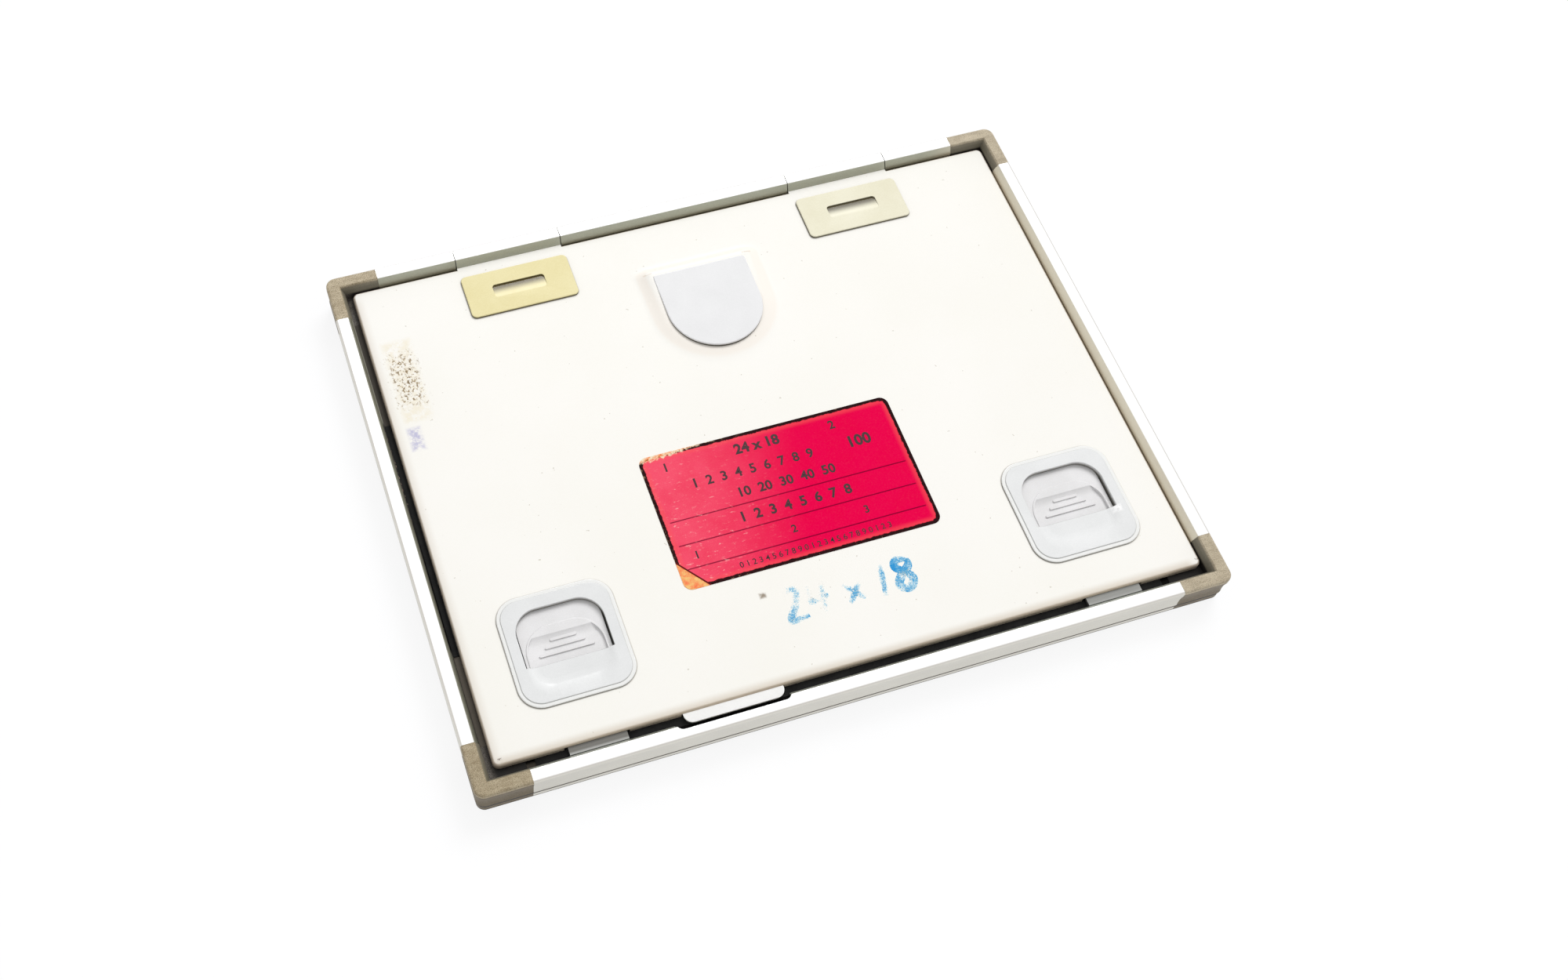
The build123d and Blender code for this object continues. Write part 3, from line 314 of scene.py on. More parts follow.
def struck_bolt():
    """Dull steel strip, with painted shade towards the lid and a painted highlight at its tip."""
    made = Finish("bolt_steel", Metallic=1.0)
    grain = made.grain(0.25, 4.0, 0.7)
    cloud = made.grain(4.0, 3.0, 0.6, (3, 1, 1), seed=2.0)
    colour = made.mix(grain * 0.5 + cloud * 0.5, tone(138, 138, 134), tone(178, 179, 176))
    # painted shade where the lid's edge hangs over the bolt
    shade_under_lid = (made.y + 94.6).fade(-0.3, 0.5) * (0.2 + made.x.fade(20.0, -20.0) * 0.55)
    colour = made.mix(shade_under_lid, colour, tone(96, 93, 88))
    # painted highlight along the bolt's tip
    nose_highlight = (made.y + 95.4).fade(0.25, -0.1)
    colour = made.mix(nose_highlight * 0.6, colour, tone(214, 216, 212))
    made.feed("Base Color", colour)
    made.feed("Roughness", 0.42 + grain * 0.15)
    made.dip(grain, 0.01, 0.12)
    return made


def bezel_finish():
    """Grey-white moulding: a painted highlight on its border and at one bridge's end, a painted shade
    line at the field's foot, painted shade with dirt at the plate's foot, and painted shade on the
    walls down in the well.
    """
    made = Finish("bezel_plastic", Specular_IOR_Level=0.5)
    cloud = made.grain(16.0, 4.0, 0.55)
    fine = made.grain(0.45, 3.0, 0.65, seed=5.0)
    blend = cloud * 0.6 + fine * 0.4
    colour = made.mix(blend.fade(0.3, 0.7), tone(229, 230, 230), tone(238, 239, 239))
    for seat in latch_seats:
        here = (made.x - seat[0]).size().fade(26.0, 24.0)
        out = made.plate(seat, (field_width, field_width), field_radius)
        # painted highlight: the border is paler
        border = out.fade(0.0, 0.15) * made.z.fade(12.1, 12.4) * here
        colour = made.mix(border * 0.7, colour, tone(246, 246, 243))
        # painted shade in a fine line where the field rises from the border
        colour = made.mix(out.size().fade(0.22, 0.06) * here * 0.3, colour, tone(160, 160, 152))
        # painted shade and dirt at the plate's foot
        dirt_and_shade = out.fade(-0.4, 0.0) * made.z.fade(12.35, 11.85) * here
        colour = made.mix(dirt_and_shade, colour, tone(84, 76, 62))
        # painted shade on the walls down in the well
        well = made.box((seat[0], seat[1] + 5.4), (31.0, 21.4), 0.4) * made.z.fade(12.72, 11.3)
        colour = made.mix(well * 0.85, colour, made.mix(fine, tone(70, 66, 54), tone(104, 99, 84)))
    # painted highlight at the end of the right-hand bridge
    wear_and_sheen = made.box((latch_seats[1][0] + 14.6, latch_seats[1][1] - 6.6), (2.4, 1.2), 1.2)
    wear_and_sheen = wear_and_sheen * made.grain(0.9, 3.0, 0.7, seed=33.0).fade(0.38, 0.5)
    colour = made.mix(wear_and_sheen, colour, tone(254, 254, 254))
    made.feed("Base Color", colour)
    made.feed("Roughness", 0.2 + (fine - 0.5) * 0.2)
    made.dip(fine, 0.004, 0.25)
    return made


def moulded(name, dark, light, roughness, speckle, cloud_size, depth, rounding, grime_and_shade=None):
    """Moulded plastic: soft clouding and fine speckle, between a dark and a light colour.

    Depth and rounding are for its bumps and edges. Grime, if given, is painted shade with dirt: the
    heights it starts and is full at, its colour, and the height below which the underside stays clean.
    """
    made = Finish(name, Specular_IOR_Level=0.45)
    cloud = made.grain(cloud_size, 4.0, 0.55)
    fine = made.grain(speckle, 3.0, 0.65, seed=5.0)
    blend = cloud * 0.6 + fine * 0.4
    colour = made.mix(blend.fade(0.3, 0.7), tone(*dark), tone(*light))
    if grime_and_shade:
        top, foot, dirt_and_shade, underside = grime_and_shade
        # painted shade and dirt, darkest towards the foot
        shade_and_grime = made.z.fade(top, foot) * made.z.fade(underside, underside + 0.1)
        colour = made.mix(shade_and_grime, colour, tone(*dirt_and_shade))
    made.feed("Base Color", colour)
    made.feed("Roughness", roughness + (fine - 0.5) * 0.2)
    made.dip(fine, depth, rounding)
    return made


def frame_corner():
    """Tan moulded corner: mottled and speckled, with a painted highlight on the top's outer edge and
    painted shade on its sides and inside the well.
    """
    made = Finish("corner_plastic", Specular_IOR_Level=0.35)
    cloud = made.grain(4.0, 4.0, 0.6)
    fine = made.grain(0.3, 4.0, 0.8, seed=5.0)
    streak = made.grain(1.0, 3.0, 0.6, (5, 1, 1), seed=9.0)
    blend = cloud * 0.18 + fine * 0.66 + streak * 0.16
    colour = made.mix(blend.fade(0.38, 0.62), tone(140, 124, 96), tone(214, 200, 172))
    specks = made.grain(0.42, 4.0, 0.8, seed=12.0).fade(0.54, 0.64)
    colour = made.mix(specks * 0.85, colour, tone(78, 66, 46))
    pale = made.grain(0.5, 4.0, 0.8, seed=19.0).fade(0.6, 0.7)
    colour = made.mix(pale * 0.6, colour, tone(228, 218, 194))
    # slightly greyer towards the right, browner at the near left
    colour = made.mix((made.x - 60).fade(-120.0, 60.0) * 0.22, colour, tone(206, 197, 180))
    near_left = (made.y + 60).fade(0.0, -20.0) * (made.x + 60).fade(0.0, -20.0)
    colour = made.mix(near_left * 0.24, colour, tone(122, 104, 68))
    # painted shade: darker on the sides below the top
    side_shade = made.z.fade(13.9, 12.9)
    colour = made.mix(side_shade * 0.7, colour, tone(84, 72, 52))
    deep = inset(made)
    # painted highlight along the top's outer edge
    edge = (made.z - 14.0).size().fade(0.35, 0.1) * deep.fade(1.5, 1.0)
    colour = made.mix(edge * 0.5, colour, tone(222, 206, 170))
    # painted shade inside the frame: greyer on the inner face, mottled grey along the left arm's well
    # and near black elsewhere in it
    inner_shade = deep.fade(4.6, 5.0)
    colour = made.mix(inner_shade * 0.82, colour, tone(112, 108, 94))
    left_arm = (made.x + 122.5).fade(0.0, -2.5)
    mottle = made.mix(fine.fade(0.4, 0.6), tone(60, 55, 50), tone(116, 110, 102))
    well = made.mix(left_arm, tone(26, 23, 20), mottle)
    colour = made.mix(inner_shade * made.z.fade(12.4, 11.2), colour, well)
    colour = painted_seam_shade(made, colour, tone(40, 33, 25))
    made.feed("Base Color", colour)
    made.feed("Roughness", 0.5 + (fine - 0.5) * 0.3)
    made.dip(fine, 0.05, 0.3)
    return made


def painted_lid():
    """Cream stove enamel, stained in one place, with an ink smudge and small marks; painted shade on
    its rolled edges, creases and boss, and painted shade with dirt around its plates.
    """
    made = Finish("lid_enamel", Specular_IOR_Level=0.4)
    cloud = made.grain(45, 3.0, 0.5)
    fine = made.grain(0.45, 3.0, 0.7, seed=4.0)
    peel = made.grain(1.6, 2.0, 0.5, seed=2.0)
    blend = cloud * 0.6 + fine * 0.4
    colour = made.mix(blend.fade(0.3, 0.7), tone(250, 248, 241), tone(253, 251, 246))
    # painted shade: the rolled edge is tan, and so is a soft band along the left side
    edge = made.z.fade(11.795, 11.60)
    colour = made.mix(edge * 0.9, colour, tone(184, 170, 152))
    edge_shade_band = (made.x + 123.6).fade(4.2, 0.2) * (made.y - 95).fade(0.0, -6.0)
    colour = made.mix(edge_shade_band * 0.36, colour, tone(206, 190, 172))
    # painted shade of creases where the pressing folds at the cap's far corners
    broken = made.grain(1.3, 3.0, 0.6, seed=27.0).fade(0.3, 0.5)
    for place in (-18.0, 20.4):
        crease_shade = made.box((place, 72.95), (3.0, 0.05), 0.55) * broken
        colour = made.mix(crease_shade * 0.5, colour, tone(206, 184, 162))
    # a warm tint painted over the shade on the pressed boss
    flank_tint = made.z.fade(11.83, 12.05) * made.z.fade(13.3, 12.7)
    colour = made.mix(flank_tint * 0.28, colour, tone(250, 234, 218))
    # painted shade in a soft band along the near side
    edge_shade_band = (made.y + 92.5).fade(4.0, 0.4) * (made.x.size() - 124).fade(0.0, -4.0)
    colour = made.mix(edge_shade_band * 0.6, colour, tone(204, 188, 166))
    # painted contact shade with dirt in lines around the plates
    for centre, size, radius in plate_outlines:
        out = made.plate(centre, size, radius)
        line = out.fade(0.5, 0.1) * out.fade(-0.6, -0.3)
        colour = made.mix(line * (0.3 + fine * 0.3), colour, tone(128, 118, 98))
    # nicks in the near corners
    for place in ((-121.2, -90.4), (124.6, -90.2)):
        nick = made.box(place, (0.9, 0.2), 0.45) * made.grain(0.5, 3.0, 0.7, seed=40.0).fade(0.42, 0.5)
        colour = made.mix(nick * 0.8, colour, tone(96, 80, 66))
    # brown rubbed stain near the left edge
    ragged = made.grain(2.2, 5.0, 0.75, seed=7.0)
    patch = made.box((-113.8, 54.0), (7.0, 31.0), 3.0)
    haze = patch * ragged.fade(0.36, 0.6)
    colour = made.mix(haze * 0.5, colour, tone(240, 228, 198))
    fleck = made.grain(1.25, 5.0, 0.74, (1, 1.3, 1), seed=21.0)
    core = made.box((-113.7, 54.5), (4.0, 16.0), 7.0)
    clots = fleck + core * 0.1
    colour = made.mix(core * clots.fade(0.6, 0.68), colour, tone(158, 132, 90))
    colour = made.mix(core * clots.fade(0.69, 0.74), colour, tone(56, 48, 34))
    # blue ink smudge below it
    smudge = made.box((-116.6, 30.0), (1.6, 6.0), 2.6) * ragged.fade(0.35, 0.62)
    colour = made.mix(smudge * 0.55, colour, tone(120, 118, 196))
    # small brown spot by the numerals
    spot = made.box((-22.0, -60.8), (0.9, 0.5), 1.2) * ragged.fade(0.4, 0.55)
    colour = made.mix(spot * 0.8, colour, tone(112, 86, 46))
    # scattered pin marks
    pins = made.grain(1.5, 1.0, 0.4, seed=31.0).fade(0.80, 0.82)
    colour = made.mix(pins * 0.4, colour, tone(168, 156, 132))
    made.feed("Base Color", colour)
    made.feed("Roughness", 0.42 + peel * 0.12)
    made.dip(peel, 0.006)
    return made


label_centre = (0.4, -25.9)
label_size = (92.8, 52.4)


def printed_label():
    """Red label stock: black border, ruled lines, worn and torn corners, pale scuffs."""
    made = Finish("label_stock", Specular_IOR_Level=0.02)
    x, y = made.x - label_centre[0], made.y - label_centre[1]
    rough = made.grain(1.6, 5.0, 0.75, seed=3.0)
    fibre = made.grain(0.35, 4.0, 0.75, seed=4.0)
    right = (x - y * 0.25).fade(-44.0, 8.0)
    colour = made.mix(right, tone(250, 84, 112), tone(238, 0, 76))
    patch = made.grain(9.0, 3.0, 0.5, seed=6.0).fade(0.4, 0.7)
    colour = made.mix(patch * 0.25, colour, tone(234, 0, 64))
    colour = made.mix(fibre.fade(0.5, 0.75) * (0.4 - right * 0.3), colour, tone(255, 132, 136))
    # a lighter, orange line just inside the border
    across = label_size[0] / 2 - x.size()
    along = label_size[1] / 2 - y.size()
    near_corner = (3.0 - across).most(0.0) * (3.0 - along).most(0.0)
    edge = across.least(along) - near_corner.root() * 0.4
    colour = made.mix(edge.fade(3.4, 1.4) * 0.45, colour, tone(255, 92, 92))
    # ruled lines
    for level in (-26.4, -35.7, -44.7):
        rule = (made.y - level).size().fade(0.32, 0.12) * (x.size() - 43.0).fade(0.6, 0.0)
        colour = made.mix(rule * 0.8, colour, tone(110, 0, 40))
    # scuffs, thickest at the left
    scuff = made.grain(1.1, 5.0, 0.8, (2.6, 1, 1), seed=15.0)
    low = (y + x * 0.2).fade(24.0, -22.0)
    wear_and_sheen = scuff.fade(0.56, 0.66) * (1 - right) * rough.fade(0.4, 0.6) * (0.35 + low)
    colour = made.mix(wear_and_sheen * 0.75, colour, tone(255, 196, 192))
    # printed border, chipped
    border = (edge + (rough - 0.5) * 1.5).fade(1.35, 1.05)
    colour = made.mix(border, colour, tone(42, 20, 22))
    chips = edge.fade(1.0, 0.0) * (rough * 0.6 + fibre * 0.4 - right * 0.06).fade(0.53, 0.6)
    colour = made.mix(chips * 0.7, colour, tone(226, 190, 146))
    # torn upper left edge and folded lower left corner
    torn = ((y - 24.6 + (rough - 0.5) * 5.0) - (x + 40.0).most(0.0) * 0.10).fade(-0.6, 0.4)
    torn = torn * (x + 14.0 + (rough - 0.5) * 12.0).fade(3.0, -3.0)
    pulp = made.mix(rough.fade(0.4, 0.6), tone(250, 150, 92), tone(246, 232, 200))
    colour = made.mix(torn, colour, pulp)
    fold = x + y * 0.80 + 58.6
    turned = made.mix(rough.fade(0.35, 0.65), tone(252, 128, 84), tone(250, 206, 130))
    colour = made.mix(fold.fade(0.5, -0.2), colour, turned)
    colour = made.mix(fold.size().fade(0.55, 0.2), colour, tone(96, 16, 24))
    made.feed("Base Color", colour)
    made.feed("Roughness", 0.5 + fibre * 0.2)
    made.dip(fibre, 0.02)
    return made


def crayon(name, dark, light):
    """Wax crayon dragged over enamel: broken by the grain under it."""
    made = Finish(name, Specular_IOR_Level=0.2)
    grain = made.grain(0.55, 5.0, 0.8, seed=2.0)
    patch = made.grain(7.0, 2.0, 0.5, seed=14.0)
    # the ribbon is highest along its middle, where the crayon pressed hardest
    press = (made.z - 11.81).fade(0.0, 0.04)
    wax = grain + (patch - 0.5) * 0.8 + press * 0.30 - 0.26
    made.feed("Base Color", made.mix(wax.fade(0.42, 0.74), tone(*light), tone(*dark)))
    made.feed("Alpha", wax.fade(0.36, 0.66) * 0.94)
    made.feed("Roughness", 0.5 + grain * 0.2)
    return made


rail_x = rail_metal("rail_aluminium_x", "x")
rail_y = rail_metal("rail_aluminium_y", "y")
corner_plastic = frame_corner()
bright_steel = plain_metal("bright_steel", (196, 197, 198), (226, 227, 228), 0.26)
bolt_steel = struck_bolt()
plain_aluminium = plain_metal("plain_aluminium", (200, 200, 198), (222, 222, 220), 0.36)
lead_grey = plain_metal("lead_sheet", (92, 96, 102), (124, 128, 134), 0.5, 3.0)
bezel_plastic = bezel_finish()
slide_plastic = moulded(
    "slide_plastic", (228, 227, 227), (240, 239, 240), 0.34,
    speckle=0.4, cloud_size=12.0, depth=0.006, rounding=0.22,
)
# dark grey, so that it paints the shade in the gaps around the slides
housing_plastic = moulded(
    "housing_plastic", (52, 52, 50), (74, 74, 70), 0.5,
    speckle=0.5, cloud_size=9.0, depth=0.01, rounding=0.15,
)
# painted shade and dirt down the cap's side
cap_plastic = moulded(
    "cap_plastic", (233, 233, 234), (239, 239, 240), 0.32,
    speckle=0.5, cloud_size=14.0, depth=0.005, rounding=0.22,
    grime_and_shade=(13.42, 12.85, (66, 62, 50), 11.0),
)
# painted contact shade and dirt at the cover's foot
cover_left = moulded(
    "cover_plastic_left", (230, 218, 160), (239, 229, 178), 0.36,
    speckle=0.5, cloud_size=16.0, depth=0.005, rounding=0.2,
    grime_and_shade=(12.6, 12.2, (88, 76, 40), 11.0),
)
# painted contact shade and dirt at the cover's foot
cover_right = moulded(
    "cover_plastic_right", (232, 227, 200), (241, 237, 214), 0.36,
    speckle=0.5, cloud_size=16.0, depth=0.005, rounding=0.2,
    grime_and_shade=(12.6, 12.2, (88, 80, 56), 11.0),
)
front_sheet = moulded(
    "front_sheet", (58, 60, 64), (74, 76, 80), 0.45,
    speckle=0.8, cloud_size=22.0, depth=0.01, rounding=0.15,
)
liner_plastic = moulded(
    "liner_plastic", (13, 13, 13), (22, 22, 22), 0.5,
    speckle=0.8, cloud_size=18.0, depth=0.01, rounding=0.1,
)
screen_coating = moulded(
    "screen_coating", (238, 238, 230), (246, 246, 240), 0.55,
    speckle=0.3, cloud_size=30.0, depth=0.004, rounding=0.1,
)
seal_felt = moulded(
    "seal_felt", (12, 12, 12), (36, 36, 35), 0.9,
    speckle=0.35, cloud_size=5.0, depth=0.12, rounding=0.1,
)
foam_grey = moulded(
    "foam", (60, 60, 62), (84, 84, 86), 0.95,
    speckle=0.5, cloud_size=8.0, depth=0.15, rounding=0.3,
)
# painted shade on the lower part of the tab
tab_white = moulded(
    "tab_white", (244, 244, 242), (251, 251, 250), 0.35,
    speckle=0.8, cloud_size=16.0, depth=0.004, rounding=0.2,
    grime_and_shade=(10.75, 10.2, (60, 56, 50), 10.0),
)
lid_enamel = painted_lid()
label_stock = printed_label()
label_ink = moulded(
    "label_ink", (36, 0, 10), (60, 4, 20), 0.5,
    speckle=0.3, cloud_size=3.0, depth=0.004, rounding=0.0,
)
blue_crayon = crayon("blue_crayon", (18, 148, 218), (138, 216, 246))


# ---------------------------------------------------------------------------- modelling
def rounded_face(bm, width, length, radius, centre, height, steps=8):
    """A level rounded rectangle."""
    before = set(bm.faces)
    verts = bmesh.ops.create_grid(bm, x_segments=1, y_segments=1, size=0.5)["verts"]
    bmesh.ops.scale(bm, vec=(width, length, 1), verts=verts)
    bmesh.ops.translate(bm, vec=(*centre, height), verts=verts)
    if radius:
        bmesh.ops.bevel(
            bm, geom=verts, offset=radius, offset_type="OFFSET", affect="VERTICES",
            segments=steps, profile=0.5, material=-1,
        )
    return next(face for face in bm.faces if face not in before)


def soften(bm, edges, radius, steps):
    """Rounds those edges."""
    bmesh.ops.bevel(
        bm, geom=edges, offset=radius, offset_type="OFFSET", affect="EDGES",
        segments=steps, profile=0.5, material=-1, clamp_overlap=True,
    )


def level_edges(bm, height):
    """Edges that lie at that height."""
    return [e for e in bm.edges if all(abs(v.co.z - height) < 1e-4 for v in e.verts)]


def slab(width, length, radius, low, high, centre, top_edge=0.0, steps=8, edge_steps=4):
    """An upright slab with rounded corners and, if asked, a rounded top edge."""
    bm = bmesh.new()
    for height in (low, high):
        rounded_face(bm, width, length, radius, centre, height, steps)
    bmesh.ops.bridge_loops(bm, edges=bm.edges[:])
    bmesh.ops.recalc_face_normals(bm, faces=bm.faces[:])
    if top_edge:
        soften(bm, level_edges(bm, high), top_edge, edge_steps)
    return bm


def held(bm):
    """A passing object for a boolean."""
    mesh = bpy.data.meshes.new("passing")
    bm.to_mesh(mesh)
    bm.free()
    made = bpy.data.objects.new("passing", mesh)
    bpy.context.scene.collection.objects.link(made)
    return made


def combine(bm, tool, operation="DIFFERENCE"):
    """The first solid cut by, or joined with, the second. Both are used up."""
    target, cutter = held(bm), held(tool)
    change = target.modifiers.new("change", "BOOLEAN")
    change.solver = "EXACT"
    change.operation = operation
    change.object = cutter
    made = bmesh.new()
    made.from_object(target, bpy.context.evaluated_depsgraph_get())
    for passing in (target, cutter):
        bpy.data.objects.remove(passing)
    return made


def finish_piece(name, bm, finish, body, stands_for=(), smooth=32.0, scale=MM):
    """Turns the modelled solid into a piece: smooth below that angle, with flat faces kept flat."""
    bmesh.ops.scale(bm, vec=(scale, scale, scale), verts=bm.verts[:])
    for face in bm.faces:
        face.smooth = True
    for edge in bm.edges:
        edge.smooth = edge.calc_face_angle(0.0) < math.radians(smooth)
    mesh = bpy.data.meshes.new(name)
    bm.to_mesh(mesh)
    bm.free()
    mesh.materials.append(finish.material)
    made = bpy.data.objects.new(name, mesh)
    bpy.context.scene.collection.objects.link(made)
    flats = made.modifiers.new("flats", "WEIGHTED_NORMAL")
    flats.keep_sharp = True
    flats.weight = 100
    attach(made, body)
    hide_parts(*stands_for)
    return made


def dressed(node, finish, smooth=32.0):
    """A merged copy of a CAD node, shaded smooth over its fillets."""
    bm = bmesh.new()
    bm.from_mesh(nodes[node].data)
    bmesh.ops.remove_doubles(bm, verts=bm.verts[:], dist=2e-6)
    bmesh.ops.dissolve_limit(
        bm, angle_limit=math.radians(0.4), verts=bm.verts[:], edges=bm.edges[:]
    )
    return finish_piece(f"{node}_shown", bm, finish, node_bodies[node], (node,), smooth, 1.0)


# ---------------------------------------------------------------------------- lid sheet
lid_low, lid_high = (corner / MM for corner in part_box("lid_shell"))
cap_middle = middle("centre_cap")
cap_low, cap_high = (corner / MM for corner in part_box("centre_cap"))
lid_left, lid_right, lid_near = lid_low.x, lid_high.x, lid_low.y
lid_far = 95.5
lid_top = 11.8
lid_foot = 9.3
sheet = 0.8
lid_radius = 2.2
lid_roll = 1.1
grid_step = 1.0
cap_x = cap_middle.x
cap_radius = (cap_high.x - cap_low.x) / 2
cap_y = cap_low.y + cap_radius
boss_radius = cap_radius + 7.0
boss_crest = cap_high.y + 1.6
boss_run_out = 3.6
boss_foot = boss_crest + boss_run_out
boss_slope = 5.6
boss_low_rise = 0.25
boss_gain = 1.4


def boss_rise(x, y):
    """Height of the pressed boss above the sheet."""
    if y < cap_y:
        inside = boss_radius - math.hypot(x - cap_x, y - cap_y)
    else:
        inside = boss_radius - abs(x - cap_x)
    share = min(1.0, max(0.0, inside / boss_slope)) * min(1.0, max(0.0, (boss_foot - y) / boss_run_out))
    along = (y - (cap_y - boss_radius)) / (boss_crest - cap_y + boss_radius)
    crest = boss_low_rise + boss_gain * min(1.0, max(0.0, along))
    return crest * share ** 1.6


def pressed_lid():
    """The sheet with its rolled edge and pressed boss, hollow underneath."""
    centre = ((lid_left + lid_right) / 2, (lid_near + lid_far) / 2)
    width, length = lid_right - lid_left, lid_far - lid_near
    shell = slab(width, length, lid_radius, lid_foot, lid_top, centre, lid_roll, 8, 6)
    # a fine grid in the flat top where the boss is pressed up
    region = [f for f in shell.faces if f.calc_center_median().z > lid_top - 1e-3]
    bounds = (cap_x - boss_radius - 1, cap_x + boss_radius + 1, cap_y - boss_radius - 1, boss_foot + 1)
    cuts = [(bounds[0], 0), (bounds[1], 0), (bounds[2], 1), (bounds[3], 1)]
    frame_cuts = len(cuts)
    for axis, (start, end) in enumerate((bounds[:2], bounds[2:])):
        count = round((end - start) / grid_step)
        for index in range(1, count):
            cuts.append((start + (end - start) * index / count, axis))
    for order, (level, axis) in enumerate(cuts):
        plane = Vector((1, 0, 0)) if axis == 0 else Vector((0, 1, 0))
        if order >= frame_cuts:
            region = [
                f for f in region
                if bounds[0] < f.calc_center_bounds().x < bounds[1]
                and bounds[2] < f.calc_center_bounds().y < bounds[3]
            ]
        geom = list({v for f in region for v in f.verts})
        geom += list({e for f in region for e in f.edges}) + region
        cut = bmesh.ops.bisect_plane(shell, geom=geom, plane_co=plane * level, plane_no=plane)
        region = [g for g in cut["geom"] if isinstance(g, bmesh.types.BMFace)]
    for vert in shell.verts:
        if abs(vert.co.z - lid_top) < 1e-4:
            vert.co.z += boss_rise(vert.co.x, vert.co.y)
    hollow = slab(
        width - 2 * sheet, length - 2 * sheet, lid_radius - sheet, lid_foot - 1, lid_top - sheet,
        centre, lid_roll - sheet,
    )
    return combine(shell, hollow)


def block(low, high):
    """A plain box between two corners, for cutting."""
    bm = bmesh.new()
    verts = bmesh.ops.create_cube(bm, size=1.0)["verts"]
    size = [b - a for a, b in zip(low, high)]
    bmesh.ops.scale(bm, vec=size, verts=verts)
    bmesh.ops.translate(bm, vec=[(a + b) / 2 for a, b in zip(low, high)], verts=verts)
    return bm


# openings in the lid, with the room left around each part that shows in one
cut_low, cut_high = 8, 13
window_width, window_radius = 34.0, 6.2
bolt_width, bolt_room = 19.7, 1.1
knuckle_width, knuckle_room = 39.7, 0.3
tab_width, tab_room = 34.4, 0.4
under_sheet = lid_top - sheet
tongue_far = 95.85
tongue_overlap = 0.05


def edge_gap(at, half, near, far):
    """A cutter for a gap in the lid's turned-down edge, up to the underside of the sheet."""
    return block((at.x - half, near, cut_low), (at.x + half, far, under_sheet))


def cut_lid(shell):
    """Opens the windows for the latches and the gaps for bolts, knuckles and tab."""
    for side in SIDES:
        bezel = middle(f"latch_bezel_{side}")
        window = slab(
            window_width, window_width, window_radius, cut_low, cut_high, (bezel.x, bezel.y)
        )
        shell = combine(shell, window)
        bolt = middle(f"bolt_{side}")
        half = bolt_width / 2 + bolt_room
        shell = combine(shell, edge_gap(bolt, half, lid_near - 2, lid_near + lid_roll))
        knuckle = middle(f"hinge_knuckle_{side}")
        half = knuckle_width / 2 + knuckle_room
        shell = combine(shell, edge_gap(knuckle, half, lid_far - lid_roll, lid_far + 2))
        # the sheet reaches over each knuckle
        half = knuckle_width / 2
        tongue = block(
            (knuckle.x - half, lid_far - lid_roll - tongue_overlap, under_sheet),
            (knuckle.x + half, tongue_far, lid_top),
        )
        shell = combine(shell, tongue, "UNION")
    half = tab_width / 2 + tab_room
    tab_gap = edge_gap(middle("lifting_tab"), half, lid_near - 2, lid_near + lid_roll)
    return combine(shell, tab_gap)


lid_sheet = cut_lid(pressed_lid())
finish_piece("lid_sheet", lid_sheet, lid_enamel, "lid", ("lid_shell",), 40.0)


# ------------------------------------------------------------------------ latch bezels
plate_top, plate_edge = 12.5, 0.3
field_foot, field_top, field_edge = 12.3, 12.8, 0.18
skirt_width, skirt_radius, skirt_top = 33.6, 6.0, 12.2
well_width, well_length, well_radius, well_offset = 30.0, 31.7, 8.5, 1.55
bridge_offset = 5.5
dish_floor, dish_rise, dish_over = 11.6, 1.2, 0.5
dish_width, dish_length, dish_radius = 24.0, 20.3, 5.0
# what the dish gains over its rise, and the radius at its foot
dish_spread, dish_reach, dish_round, dish_foot = 6.0, 11.4, 3.5, 1.3
# room under the bridge, and the way of the slide's tray under the plate
bridge_half, bridge_near, bridge_under = 15, 16.9, 11.2
tray_half, tray_far, tray_over = 14.7, 18, 10.95


def dish_cutter(well):
    """The dish in the bridge: sides that slope down to its floor, with a soft foot."""
    dish = bmesh.new()
    rounded_face(dish, dish_width, dish_length, dish_radius, well, dish_floor, 12)
    share = (dish_rise + dish_over) / dish_rise
    rounded_face(
        dish, dish_width + dish_spread * share, dish_length + dish_reach * share,
        dish_radius + dish_round * share, well, dish_floor + dish_rise + dish_over, 12,
    )
    bmesh.ops.bridge_loops(dish, edges=dish.edges[:])
    bmesh.ops.recalc_face_normals(dish, faces=dish.faces[:])
    soften(dish, level_edges(dish, dish_floor), dish_foot, 5)
    return dish


def latch_bezel(side):
    """A latch surround: plate, raised field and skirt, less dish, window and the slide's room."""
    at = middle(f"latch_bezel_{side}")
    centre = (at.x, at.y)
    plate = slab(
        bezel_width, bezel_width, bezel_radius, lid_top, plate_top, centre, plate_edge, 10
    )
    field = slab(
        field_width, field_width, field_radius, field_foot, field_top, centre, field_edge, 10
    )
    plate = combine(plate, field, "UNION")
    skirt = slab(skirt_width, skirt_width, skirt_radius, lid_foot, skirt_top, centre, 0.0, 10)
    plate = combine(plate, skirt, "UNION")
    well = (at.x, at.y - well_offset)
    plate = combine(plate, dish_cutter(well))
    # the window is the well's outline, but only beyond the bridge
    bridge = at.y - bridge_offset
    window = slab(well_width, well_length, well_radius, lid_foot - 1, 14, well, 0.0, 12)
    near = block((at.x - 30, at.y - 40, lid_foot - 2), (at.x + 30, bridge, 15))
    plate = combine(plate, combine(window, near))
    under = block(
        (at.x - bridge_half, at.y - bridge_near, lid_foot - 1),
        (at.x + bridge_half, bridge, bridge_under),
    )
    plate = combine(plate, under)
    tray_way = block(
        (at.x - tray_half, at.y, lid_foot - 1), (at.x + tray_half, at.y + tray_far, tray_over)
    )
    plate = combine(plate, tray_way)
    finish_piece(
        f"bezel_{side}", plate, bezel_plastic, "lid", (f"latch_bezel_{side}",), 30.0
    )


for side in SIDES:
    latch_bezel(side)

